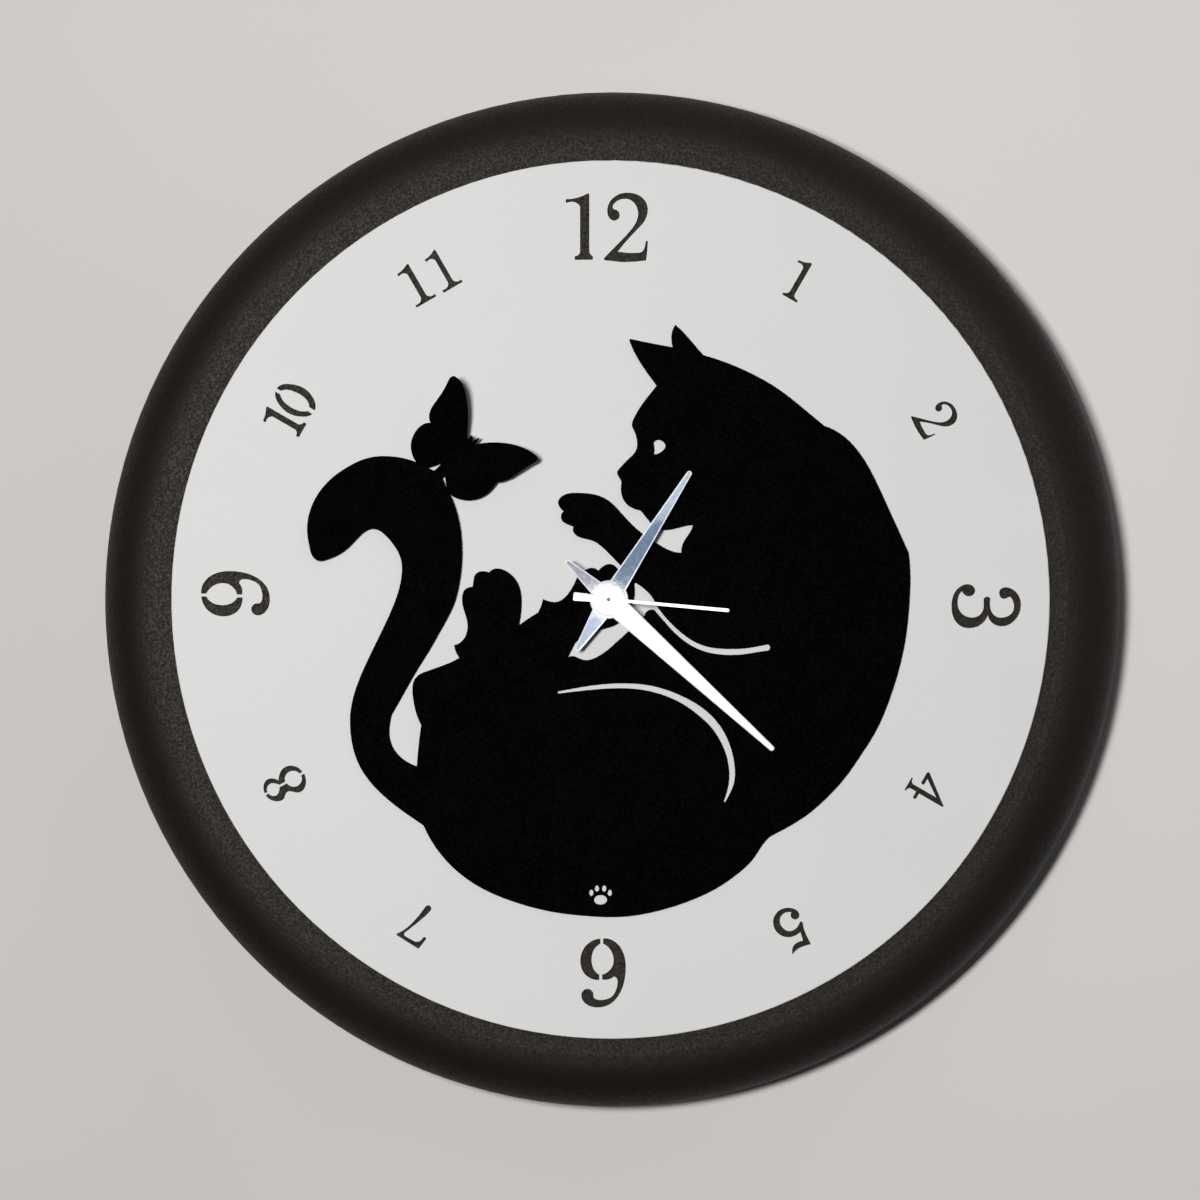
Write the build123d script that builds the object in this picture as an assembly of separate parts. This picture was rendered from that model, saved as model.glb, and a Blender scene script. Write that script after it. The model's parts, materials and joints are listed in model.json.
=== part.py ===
from build123d import *
from math import acos, atan2, cos, degrees, hypot, pi, radians, sin, sqrt, tan
import os

# A round wall clock: a spun metal shell, a flat dial with stencil-cut numerals, a cat cut from
# sheet metal with its tail and butterfly bent forward, three hands and a quartz movement.
#
# Millimetres. X is to the right and Z is up for someone who faces the clock, and the face looks
# along -Y. The origin is on the axis of the hands, in the plane of the wall.

# ---------------------------------------------------------------- driving dimensions
SHELL_R = 200.0            # outer radius of the clock
SHELL_DEPTH = 34.0         # wall to the shell's flat face
SHELL_T = 1.2              # sheet thickness of the shell
FRONT_ROUND = 22.0         # radius of the shoulder between the face and the widest place
REAR_ROUND = 12.0          # radius that turns the sheet back to the wall
RIM_WIDTH = 8.0            # width of the flat rim that lies on the wall

DIAL_R = 171.0
DIAL_T = 1.5
DIAL_EDGE_R = 0.4          # rounding of the dial's front edge
CAT_T = 1.0
CENTRE_HOLE_R = 4.1        # hole for the movement's neck through shell, dial and cat

HOUR_ANGLE = 32.5          # hands at rest, degrees clockwise from 12
MINUTE_ANGLE = 132.4
SECOND_ANGLE = 95.2
HOUR_REACH = 58.9          # hub to tip
HOUR_TAIL = 23.5
HOUR_HUB_R = 7.4
MINUTE_REACH = 86.3
MINUTE_TAIL = 22.3
MINUTE_HUB_R = 6.5
SECOND_REACH = 46.8
SECOND_TAIL = 13.7
SECOND_HUB_R = 2.6

STUD_R = 1.5               # M3 studs welded to the back of the plates
STUD_LENGTH = 9.0
STUD_HOLE_R = 1.6
DIAL_STUDS = [(120.0, angle) for angle in (45, 135, 225, 315)]   # radius, angle from +X
CAT_STUDS = [(75.0, 35.0), (70.0, -55.0), (-50.0, -75.0)]        # x, z

# y of each layer of the face, from the wall side to the front
FACE_BACK = -SHELL_DEPTH + SHELL_T
FACE = -SHELL_DEPTH
DIAL_FRONT = FACE - DIAL_T
CAT_FRONT = DIAL_FRONT - CAT_T

# bent part of the cat plate
TAIL_BEND_Z = -42.0        # the tail leaves the dial above this height
TAIL_LIFT = 0.016          # rise of the tail per millimetre of height
BUTTERFLY_ROOT = (-66.0, 52.0)
BUTTERFLY_TURN = 38.0      # direction of its body, degrees from +X
BUTTERFLY_RISE = 0.15      # rise along the body
UPPER_WING_RISE = 0.2      # further rise of the upper wings away from the body
BUTTERFLY_LIFT = 1.35      # front of the sheet at the root, ahead of the flat cat plate

# movement
CASE_W = 56.0
CASE_T = 1.2
CASE_DEPTH = 15.5
GASKET_T = 0.6
NECK_R = 4.0
NECK_BORE_R = 2.65
NECK_TIP = -39.5
CASE_FRONT = FACE_BACK + GASKET_T
INSIDE = CASE_FRONT + CASE_T              # inner face of the case's front wall
CASE_BACK = CASE_FRONT + CASE_DEPTH
BAY_TOP = -12.3                           # z of the ceiling of the battery bay
BAY_FLOOR = -CASE_W / 2 + CASE_T
COVER_GAP = 0.15
COVER_INNER = CASE_BACK - CASE_T

WASHER_T = 0.5
NUT_T = 2.5

HOUR_PIPE_R = 2.55
HOUR_PIPE_BORE_R = 1.70
HOUR_PIPE_TIP = -42.3
MINUTE_PIPE_R = 1.60
MINUTE_PIPE_BORE_R = 0.80
MINUTE_PIPE_TIP = -45.3
ARBOR_R = 0.70
ARBOR_TIP = -48.3
ARBOR_DOME_R = 0.55        # rounding of the arbor's tip

HOUR_HAND_BACK = -41.4
MINUTE_HAND_BACK = -44.2
SECOND_HAND_BACK = -46.9
HAND_T = 0.5
HAND_BEVEL_DEPTH = 0.022   # the hour and minute hands' pressed edges
HAND_BEVEL_TAPER = 87.5    # degrees between the bevel and the hand's axis
SECOND_HAND_T = 0.3

PIVOT_R = 0.45
PIVOT_HOLE_R = 0.50

# gear layers: distance of each layer's front face behind the case's front wall
HOUR_LAYER = 0.6
MINUTE_LAYER = 2.0
CENTRE_LAYER = 3.6
BRIDGE_LAYER = 5.2
THIRD_LAYER = 6.8
SECOND_LAYER = 8.6
IDLER_LAYER = 10.4
WHEEL_T = 0.8
BRIDGE_T = 1.0

# teeth of each mesh: the driven wheel and the pinion that drives it
MOTION_MODULE = 0.3125     # cannon pinion, minute wheel and setting pinion
HOUR_MODULE = 0.3
ROTOR_TEETH, IDLER_TEETH, ROTOR_MODULE = 10, 60, 0.2
IDLER_PINION, SECOND_TEETH, IDLER_MODULE = 12, 60, 0.22
SECOND_PINION, THIRD_TEETH, SECOND_MODULE = 8, 60, 0.25
THIRD_PINION, CENTRE_TEETH, THIRD_MODULE = 8, 64, 17 / 72
CANNON_TEETH, MINUTE_TEETH = 12, 36
MINUTE_PINION, HOUR_TEETH = 10, 40
SETTING_TEETH = 14

# battery
CELL_R = 6.95
SLEEVE_T = 0.15
CELL_LEFT = -24.3
CELL_RIGHT = 24.5
CELL_Z = (BAY_FLOOR + BAY_TOP) / 2
CELL_Y = INSIDE + 0.3 + CELL_R
NUB_R = 2.7
NUB_END = 25.85

# hanger
BRACKET_T = 1.5
BRACKET_W = 44.0
BRACKET_BOTTOM = 150.0
BRACKET_TOP = 186.0
KEY_Z = 160.0              # centre of the keyhole's round part
KEY_R = 4.5
KEY_SLOT_R = 2.25
KEY_TOP = 171.0
RIVET_X = 15.0
RIVET_Z = 183.0
RIVET_R = 1.6
RIVET_HEAD_R = 3.0


# ---------------------------------------------------------------- drawing helpers
def front_view(y):
    """A drawing plane that faces forward at this y, with its x across and its y up."""
    return Plane(origin=(0, y, 0), x_dir=(1, 0, 0), z_dir=(0, -1, 0))


def slab(shape, back, front):
    """The solid between two values of y whose front view is the shape."""
    return extrude(front_view(back) * shape, amount=back - front)


def ring(outer, inner, back, front, x=0.0, z=0.0):
    """A washer or tube round an axis along Y."""
    shape = Circle(outer)
    if inner > 0:
        shape = shape - Circle(inner)
    return slab(Pos(x, z) * shape, back, front)


def block(x0, x1, y0, y1, z0, z1):
    """A box between two corners."""
    size = (x1 - x0, y1 - y0, z1 - z0)
    return Pos((x0 + x1) / 2, (y0 + y1) / 2, (z0 + z1) / 2) * Box(*size)


def outline(*runs):
    """A closed shape. Each run lists the points after one corner up to the next corner.

    A run of one point is a straight edge, and a longer one is a smooth curve through its points.
    """
    edges = []
    start = runs[-1][-1]
    for run in runs:
        points = [start, *run]
        edges.append(Line(*points) if len(points) == 2 else Spline(*points))
        start = run[-1]
    return make_face(edges)


def polar(radius, angle):
    """A point at this radius, with the angle in degrees from +X towards +Z."""
    return radius * cos(radians(angle)), radius * sin(radians(angle))


def layer(depth):
    """The y of a place this far behind the case's front wall."""
    return INSIDE + depth


# ---------------------------------------------------------------- numerals
# Each numeral is drawn at the top of the dial, x across and y out from the dial's centre, and is
# then turned to its hour.
def digit_one(stem, foot, flag, base, top, thick):
    """A serif 1. stem and foot are (left, right), flag is the left end of its flag."""
    left, right = stem
    shelf = base + thick
    height = top - base
    flag_top = top - 0.088 * height
    flag_bottom = flag_top - thick
    return outline(
        [(foot[1], base)],
        [(foot[1] + 0.1, base + thick / 2), (foot[1], shelf)],
        [(right + 0.8, shelf + 0.3), (right, shelf + 1.4)],
        [(right, top - 0.8)],
        [(right - 0.1, top - 0.2), (right - 0.6, top)],
        [(left - 0.6, top - 0.062 * height), (flag, flag_top)],
        [(flag - 0.2, (flag_top + flag_bottom) / 2), (flag + 0.1, flag_bottom)],
        [(left - 0.9 * thick, flag_bottom), (left, flag_bottom - 0.9 * thick)],
        [(left, shelf + 1.4)],
        [(left - 0.8, shelf + 0.3), (foot[0], shelf)],
        [(foot[0] - 0.1, base + thick / 2), (foot[0], base)],
    )


def digit_two():
    """The 2 of 12."""
    return outline(
        [(0.5, 131.8), (3.5, 131.4), (7.5, 131.3), (11.0, 131.5), (14.3, 131.9)],
        [(14.7, 135.0), (15.0, 139.2)],
        [(14.6, 139.6), (14.2, 139.4)],
        [(13.8, 137.2), (13.1, 135.7), (11.5, 134.9)],
        [(7.0, 134.9), (3.3, 135.3)],
        [(5.2, 137.8), (8.0, 141.0), (10.8, 143.9), (13.4, 146.8), (14.8, 150.0), (14.8, 153.0),
         (13.2, 156.0), (10.2, 157.8), (7.0, 158.3), (3.8, 157.7), (1.2, 156.0), (-0.5, 153.3),
         (-0.8, 150.8), (0.0, 148.5), (1.8, 147.4), (3.4, 148.1), (4.0, 149.8), (3.3, 151.2),
         (1.8, 151.8)],
        [(1.3, 152.8), (2.3, 154.5), (5.0, 155.8), (8.0, 155.5), (10.3, 153.4), (11.2, 150.3),
         (10.4, 146.8), (8.0, 143.3), (4.5, 139.5), (1.2, 136.2), (-2.2, 132.7)],
        [(-1.8, 132.1), (-1.0, 131.9)],
    )


def digit_three():
    return outline(
        [(-4.0, 151.9), (-4.7, 153.4), (-4.5, 155.4), (-3.1, 157.7), (-0.8, 159.3), (2.3, 159.8),
         (5.6, 159.1), (8.3, 157.2), (10.0, 154.7), (10.4, 152.0), (9.6, 149.4), (6.1, 147.0)],
        [(8.8, 145.4), (10.4, 143.2), (11.1, 140.4), (10.7, 137.2), (8.9, 134.8), (6.0, 133.3),
         (2.6, 132.9), (-0.9, 133.4), (-3.9, 135.0), (-5.6, 137.5), (-5.9, 139.6), (-5.0, 141.4),
         (-3.4, 142.1), (-1.9, 141.4), (-1.2, 139.9), (-1.6, 138.3), (-3.2, 137.0)],
        [(-1.6, 135.8), (0.8, 135.3), (3.2, 135.6), (5.4, 136.9), (6.7, 139.0), (7.0, 141.3),
         (6.2, 143.6), (4.6, 144.9), (2.2, 145.4), (-0.4, 145.4)],
        [(-1.1, 146.7), (-0.4, 148.0)],
        [(2.8, 147.9), (5.2, 148.7), (6.7, 150.4), (7.0, 152.7), (6.3, 155.0), (4.8, 156.6),
         (2.6, 157.1), (0.5, 156.7), (-1.1, 155.5)],
        [(-0.5, 154.2), (-0.3, 152.9), (-1.1, 151.8), (-2.6, 151.4)],
    )


def digit_six():
    """The 6, in two parts because the dial keeps a bridge above and below its eye."""
    stem = outline(
        [(2.4, 134.0)],
        [(0.9, 134.9), (-0.7, 136.8), (-1.6, 139.4), (-1.4, 142.2), (0.2, 144.6), (2.8, 146.0)],
        [(2.8, 147.9)],
        [(0.9, 148.0), (-1.7, 146.8)],
        [(-2.9, 147.4), (-3.2, 149.0), (-2.6, 152.0), (-1.0, 154.5), (1.4, 155.6), (4.2, 155.8),
         (5.8, 155.2), (6.2, 153.8)],
        [(6.8, 152.3), (8.4, 151.5), (10.1, 152.2), (10.9, 154.0), (10.3, 156.1), (8.2, 158.0),
         (4.6, 158.8), (0.9, 158.1), (-2.1, 156.0), (-4.4, 152.7), (-5.9, 148.2), (-6.4, 143.4),
         (-5.8, 138.5), (-4.2, 135.2), (-1.6, 132.8), (2.4, 131.9)],
    )
    bowl = outline(
        [(5.9, 132.5), (8.6, 134.2), (10.6, 137.1), (11.3, 140.4), (10.8, 143.6), (9.1, 146.3),
         (6.5, 147.8), (3.9, 148.1)],
        [(3.9, 146.0)],
        [(5.6, 144.6), (6.7, 142.2), (6.9, 139.5), (6.1, 136.5), (3.5, 134.0)],
        [(3.5, 132.0)],
    )
    return [stem, bowl]


def digit_nine():
    """The 9 is the 6 turned round."""
    return [Pos(2.35, 145.6) * Rot(0, 0, 180) * Pos(-2.35, -145.6) * part for part in digit_six()]


def digit_four():
    """The 4, whose crossbar stops short of the stem."""
    return outline(
        [(6.6, 136.3)],
        [(6.8, 136.6), (6.6, 136.9)],
        [(5.6, 137.2), (5.0, 138.2)],
        [(5.0, 140.5)],
        [(7.4, 140.5)],
        [(7.8, 141.2), (7.4, 141.9)],
        [(5.1, 141.9)],
        [(5.1, 152.2)],
        [(4.8, 152.6), (4.3, 152.2)],
        [(-3.8, 141.6)],
        [(-3.9, 140.9), (-3.3, 140.5)],
        [(1.0, 140.5)],
        [(1.4, 141.2), (1.0, 141.9)],
        [(-1.4, 141.9)],
        [(3.1, 148.4)],
        [(3.1, 138.2)],
        [(2.5, 137.2), (1.3, 136.9)],
        [(1.0, 136.6), (1.3, 136.3)],
    )


def digit_five():
    return outline(
        [(1.5, 154.6), (4.0, 154.3), (6.0, 154.6), (7.4, 155.1)],
        [(6.6, 153.6), (5.3, 152.4), (3.6, 152.0), (1.1, 152.5)],
        [(0.3, 149.1)],
        [(2.7, 149.3), (5.2, 148.6), (7.2, 146.9), (8.3, 144.3), (8.1, 141.7), (6.9, 139.5),
         (4.8, 138.1), (2.3, 137.7), (-0.2, 138.5), (-2.1, 140.1), (-2.9, 142.0), (-2.4, 143.6),
         (-1.2, 144.1), (0.1, 143.5), (0.5, 142.2), (-0.5, 140.8)],
        [(0.8, 139.9), (2.7, 139.7), (4.4, 140.5), (5.4, 142.2), (5.4, 144.3), (4.3, 146.3),
         (2.4, 147.1), (0.4, 146.8), (-1.4, 145.6)],
        [(-2.2, 145.8), (-2.2, 146.8)],
        [(-1.3, 149.5), (-1.0, 152.5), (-0.9, 155.2)],
    )


def digit_seven():
    return outline(
        [(6.3, 154.7)],
        [(6.7, 154.4), (6.5, 154.0)],
        [(4.9, 151.4), (3.4, 147.1), (2.6, 143.0), (2.2, 139.3)],
        [(1.7, 138.6), (0.9, 138.3), (0.1, 138.7), (-0.3, 139.6)],
        [(0.5, 142.9), (2.0, 147.0), (4.1, 152.2)],
        [(4.1, 152.9), (3.3, 153.4)],
        [(-1.0, 153.3)],
        [(-2.2, 152.6), (-3.0, 150.3)],
        [(-3.7, 149.8), (-4.3, 150.2)],
        [(-4.0, 152.8), (-3.6, 155.1)],
    )


def digit_eight():
    """The 8, cut into two halves by the bridge down its middle."""
    left = outline(
        [(-0.8, 153.9), (-2.8, 152.4), (-3.9, 150.2), (-3.7, 148.6), (-2.6, 147.3), (-2.2, 146.0),
         (-3.3, 144.3), (-4.6, 142.6), (-4.7, 140.8), (-3.6, 138.9), (-1.7, 137.6), (0.7, 137.0)],
        [(0.7, 138.5)],
        [(-0.9, 139.0), (-1.9, 140.4), (-2.1, 141.9), (-1.4, 143.5), (0.8, 144.7)],
        [(0.9, 148.1)],
        [(-0.4, 149.0), (-1.2, 150.4), (-0.7, 152.0), (0.9, 152.9)],
        [(0.9, 154.3)],
    )
    right = outline(
        [(4.0, 153.5), (5.6, 151.9), (5.8, 149.8), (4.9, 148.2), (3.4, 147.0)],
        [(5.2, 145.6), (6.5, 143.4), (6.4, 140.9), (5.1, 138.8), (1.6, 137.3)],
        [(1.6, 138.6)],
        [(3.3, 139.5), (4.2, 141.2), (4.0, 143.2), (1.7, 144.9)],
        [(1.7, 147.6)],
        [(3.1, 148.8), (3.9, 150.5), (3.2, 152.3), (1.7, 153.0)],
        [(1.7, 154.2)],
    )
    return [left, right]


def digit_zero():
    """The 0 of 10, two crescents with a bridge above and below its eye."""
    left = outline(
        [(3.2, 152.2), (1.4, 149.5), (0.4, 146.0), (0.5, 142.8), (1.6, 139.8), (3.2, 137.4),
         (4.7, 136.4)],
        [(4.8, 138.7)],
        [(3.7, 140.2), (2.9, 143.0), (2.9, 146.3), (3.7, 149.4), (5.1, 151.2)],
        [(5.1, 153.4)],
    )
    right = outline(
        [(8.6, 152.6), (10.6, 149.6), (11.7, 146.0), (11.6, 142.6), (10.4, 139.5), (8.5, 137.2),
         (6.4, 136.3)],
        [(6.4, 138.8)],
        [(7.8, 140.1), (8.8, 142.9), (8.8, 146.5), (7.9, 149.9), (6.4, 151.6)],
        [(6.4, 153.5)],
    )
    return [left, right]


def numerals():
    """Every cut-out of the dial's ring, as (hour, shapes)."""
    shrink = 0.63
    small_two = Pos(2.5 - 6.5 * shrink, 136.5 - 131.4 * shrink) * scale(digit_two(), by=shrink)
    eleven_second = digit_one((7.3, 9.35), (3.9, 12.3), 4.0, 135.7, 152.1, 1.15)
    return {
        1: [digit_one((0.9, 3.1), (-1.0, 5.3), -2.1, 136.3, 152.5, 1.0)],
        2: [small_two],
        3: [digit_three()],
        4: [digit_four()],
        5: [digit_five()],
        6: digit_six(),
        7: [digit_seven()],
        8: digit_eight(),
        9: digit_nine(),
        10: [digit_one((-3.9, -1.5), (-5.8, 0.2), -7.1, 136.5, 153.4, 1.3), *digit_zero()],
        11: [digit_one((-4.8, -2.5), (-8.1, 0.6), -8.1, 136.0, 152.6, 1.1), eleven_second],
        12: [digit_one((-11.4, -7.8), (-13.4, -6.5), -16.8, 132.2, 158.1, 1.5), digit_two()],
    }


# ---------------------------------------------------------------- shell, dial and cat
def shell_profile():
    """The half section of the spun shell, x as radius and y as depth."""
    flat_r = SHELL_R - FRONT_ROUND
    rear_r = SHELL_R - REAR_ROUND
    widest = -SHELL_DEPTH + FRONT_ROUND
    inner = SHELL_R - SHELL_T
    bend = cos(radians(45))

    def around(centre_r, radius, side):
        return centre_r + radius * bend, widest + side * radius * bend

    outside = [
        Line((CENTRE_HOLE_R, FACE), (flat_r, FACE)),
        ThreePointArc((flat_r, FACE), around(flat_r, FRONT_ROUND, -1), (SHELL_R, widest)),
        ThreePointArc((SHELL_R, widest), around(rear_r, REAR_ROUND, 1), (rear_r, 0)),
        Line((rear_r, 0), (rear_r - RIM_WIDTH, 0)),
        Line((rear_r - RIM_WIDTH, 0), (rear_r - RIM_WIDTH, -SHELL_T)),
    ]
    inside = [
        Line((rear_r - RIM_WIDTH, -SHELL_T), (rear_r, -SHELL_T)),
        ThreePointArc((rear_r, -SHELL_T), around(rear_r, REAR_ROUND - SHELL_T, 1), (inner, widest)),
        ThreePointArc((inner, widest), around(flat_r, FRONT_ROUND - SHELL_T, -1),
                      (flat_r, FACE_BACK)),
        Line((flat_r, FACE_BACK), (CENTRE_HOLE_R, FACE_BACK)),
        Line((CENTRE_HOLE_R, FACE_BACK), (CENTRE_HOLE_R, FACE)),
    ]
    return make_face(outside + inside)


def stud_places():
    return [polar(*place) for place in DIAL_STUDS], CAT_STUDS


def frame_shell():
    """The spun bowl that makes the border, the ground behind the numerals and the back rim."""
    shell = revolve(shell_profile(), axis=Axis.Y)
    dial_studs, cat_studs = stud_places()
    for x, z in [*dial_studs, *cat_studs]:
        shell -= ring(STUD_HOLE_R, 0, FACE_BACK + 1, FACE - 1, x, z)
    for side in (-1, 1):
        shell -= rivet_hole(side)
    return shell


def dial_plate():
    """The flat dial, rounded at the front of its rim, with its numerals cut right through."""
    plate = ring(DIAL_R, CENTRE_HOLE_R, FACE, DIAL_FRONT)
    rims = plate.edges().filter_by(GeomType.CIRCLE).filter_by(lambda edge: edge.radius > DIAL_R - 1)
    plate = fillet(rims.sort_by(Axis.Y)[0], DIAL_EDGE_R)
    for x, z in CAT_STUDS:
        plate -= ring(STUD_HOLE_R, 0, FACE + 1, DIAL_FRONT - 1, x, z)
    for hour, shapes in numerals().items():
        turn = Rot(0, 0, -30 * hour)
        for shape in shapes:
            plate -= slab(turn * shape, FACE + 1, DIAL_FRONT - 1)
    return plate


def cat_body():
    """The flat part of the cat, with the foot of the tail up to where it is bent."""
    return outline(
        # foot of the tail and belly
        [(-100.9, -51.5), (-99.8, -58.2), (-97.0, -65.5), (-93.0, -71.3), (-86.7, -77.6),
         (-79.0, -83.5), (-72.4, -88.0)],
        [(-68.3, -95.6), (-61.0, -104.3), (-51.0, -111.7), (-38.0, -117.4), (-22.0, -121.6),
         (-8.0, -123.2), (5.0, -123.4), (18.0, -121.3), (31.0, -117.2), (42.0, -112.0),
         (50.0, -106.4), (56.0, -100.5), (59.5, -95.2), (62.5, -92.0)],
        # back
        [(70.0, -88.0), (77.5, -83.1), (85.0, -76.4), (91.0, -69.8), (97.6, -60.5),
         (103.6, -50.8), (108.3, -40.0), (111.9, -29.0), (114.6, -17.5), (116.2, -5.0),
         (116.8, 6.0), (116.6, 14.0), (116.1, 18.3)],
        [(113.0, 25.2), (109.3, 33.4), (105.5, 41.7), (101.5, 49.9), (97.3, 56.7), (93.4, 61.3),
         (90.0, 64.2), (83.4, 67.5)],
        [(78.0, 72.0), (72.0, 77.0), (64.0, 82.9), (55.5, 87.7), (46.0, 91.9), (36.5, 95.0)],
        # ears
        [(33.5, 98.4), (30.0, 102.5), (25.6, 106.8)],
        [(24.5, 104.4), (24.1, 101.3), (24.6, 98.1)],
        [(17.0, 99.5), (8.4, 101.3)],
        [(7.9, 101.1), (7.9, 100.4)],
        [(10.0, 95.6), (13.8, 89.4), (18.4, 83.1)],
        # brow, nose and chin
        [(15.2, 79.2), (12.1, 75.0), (9.8, 71.0), (8.8, 67.7), (9.8, 65.2), (10.7, 62.2),
         (10.8, 59.7), (9.9, 57.2), (7.8, 55.0), (5.2, 52.4), (3.3, 50.2)],
        [(3.1, 49.0), (3.9, 47.3), (4.7, 45.6)],
        [(4.5, 42.6), (5.1, 39.6), (6.8, 37.0), (9.0, 35.5), (12.1, 34.6)],
        [(15.9, 29.9)],
        # gap between chin and foreleg
        [(18.2, 27.8), (21.5, 27.0), (26.5, 27.8), (32.4, 28.9)],
        [(30.8, 25.3), (29.0, 22.6), (28.2, 20.5), (28.0, 18.2)],
        [(24.3, 18.8), (20.8, 20.4), (16.6, 23.1), (12.5, 25.9), (9.0, 28.9), (5.8, 32.3),
         (3.0, 35.4), (0.4, 37.9), (-2.6, 39.8), (-7.0, 41.1), (-12.5, 41.5), (-16.6, 41.1),
         (-19.2, 39.5), (-20.0, 37.6)],
        # paw
        [(-19.3, 35.9), (-17.8, 34.3)],
        [(-18.8, 32.5), (-18.4, 30.7), (-16.5, 29.3), (-13.9, 28.3)],
        [(-14.1, 26.6), (-12.7, 24.8), (-9.5, 23.6), (-6.0, 22.6), (-2.8, 20.4), (0.8, 16.9),
         (5.2, 12.4)],
        # toes of the second foreleg
        [(4.0, 11.4)],
        [(3.0, 12.1), (1.9, 13.2), (0.1, 13.8), (-1.8, 13.3), (-4.4, 11.1)],
        [(-5.6, 12.1), (-7.2, 12.3), (-9.4, 11.4)],
        [(-12.6, 8.5)],
        [(-13.8, 5.8), (-15.6, 2.8), (-17.8, 0.4), (-20.4, -0.9), (-23.0, -0.8), (-25.8, 0.2)],
        [(-26.6, -2.6), (-27.7, -5.0)],
        [(-31.2, -7.2), (-35.2, -10.0)],
        # hind foot
        [(-34.6, -6.5), (-34.2, -1.5), (-34.5, 2.8), (-35.9, 6.8), (-38.6, 10.0), (-41.6, 11.7),
         (-43.8, 12.1), (-45.6, 11.6), (-46.8, 10.5)],
        [(-48.6, 11.0), (-50.7, 10.8), (-52.2, 9.7), (-52.9, 7.5), (-53.3, 4.9)],
        [(-54.8, 4.7), (-56.3, 3.8), (-57.3, 0.8), (-57.1, -2.3), (-56.0, -6.0), (-55.2, -9.8),
         (-55.6, -13.2), (-57.2, -16.0), (-60.4, -17.7)],
        [(-60.0, -19.8), (-58.4, -22.7)],
        [(-65.7, -26.0), (-70.8, -27.8), (-74.0, -29.2), (-75.9, -31.2), (-76.7, -34.6),
         (-76.4, -39.0), (-75.5, -43.4), (-73.3, -48.9)],
        [(-74.1, -55.0), (-75.0, -65.0)],
        # inner side of the tail's foot
        [(-77.0, -64.2), (-80.6, -62.0), (-83.7, -58.7), (-85.5, -54.4), (-85.7, -50.0),
         (-84.9, -45.0)],
        [(-101.0, -45.0)],
    )


def cat_cutouts():
    """The light lines inside the cat: eye, chest with foreleg line, belly line and a paw print."""
    eye = outline(
        [(18.4, 62.0), (20.2, 61.8), (21.8, 59.8), (20.3, 57.5), (17.3, 56.5)],
        [(17.4, 58.6), (17.1, 60.9)],
    )
    chest = outline(
        [(12.6, 4.9), (15.2, 2.6), (17.2, 0.0)],
        [(19.2, -3.6), (22.2, -7.4), (25.6, -10.9), (29.8, -14.4), (34.4, -17.1), (39.6, -18.7),
         (45.5, -19.2), (51.5, -19.1), (57.0, -18.3), (61.6, -17.4)],
        [(62.5, -18.6), (61.8, -19.8)],
        [(56.5, -20.6), (51.0, -21.4), (45.0, -21.5), (39.0, -20.7), (33.5, -18.8),
         (28.5, -15.7), (24.3, -11.9), (20.9, -8.1), (18.0, -4.8)],
        [(16.9, -3.9), (15.4, -4.1), (13.8, -6.0)],
        [(10.6, -9.3), (6.8, -12.9), (3.0, -16.4), (-0.4, -19.4), (-4.0, -21.9), (-6.8, -23.2),
         (-9.2, -23.6), (-11.3, -23.1), (-13.4, -22.2), (-16.2, -22.5)],
        [(-13.4, -16.9)],
        [(-10.4, -14.6), (-6.8, -12.9), (-3.0, -11.7), (2.4, -9.9), (6.2, -6.6), (8.3, -3.0),
         (9.6, 0.6), (9.8, 3.6), (9.6, 5.9)],
        [(9.9, 6.4), (10.5, 6.3)],
    )
    belly = outline(
        [(-14.0, -34.6), (-6.0, -33.3), (3.0, -32.6), (12.0, -32.9), (19.5, -34.3),
         (27.0, -37.0), (34.5, -41.0), (40.5, -46.0), (44.8, -52.0), (47.6, -59.0),
         (48.8, -66.0), (48.4, -71.5), (46.8, -75.5), (45.2, -78.5)],
        [(44.8, -78.8), (44.4, -78.4)],
        [(45.6, -74.5), (46.4, -70.5), (46.4, -66.0), (45.2, -60.0), (42.8, -54.5),
         (39.4, -49.5), (35.0, -45.3), (29.5, -41.2), (23.0, -37.9), (15.5, -35.6), (8.0, -34.6),
         (0.0, -34.6), (-8.0, -35.2), (-19.9, -36.6)],
        [(-20.3, -36.2), (-20.0, -35.7)],
    )
    print_x, print_z = -3.5, -116.0
    paw = [Pos(print_x, print_z - 0.8) * Ellipse(2.6, 1.9)]
    for toe_x, toe_z in ((-3.6, 1.9), (-1.4, 3.6), (1.4, 3.6), (3.6, 1.9)):
        paw.append(Pos(print_x + toe_x, print_z + toe_z) * Ellipse(0.9, 1.25))
    return [eye, chest, belly, *paw]


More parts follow.
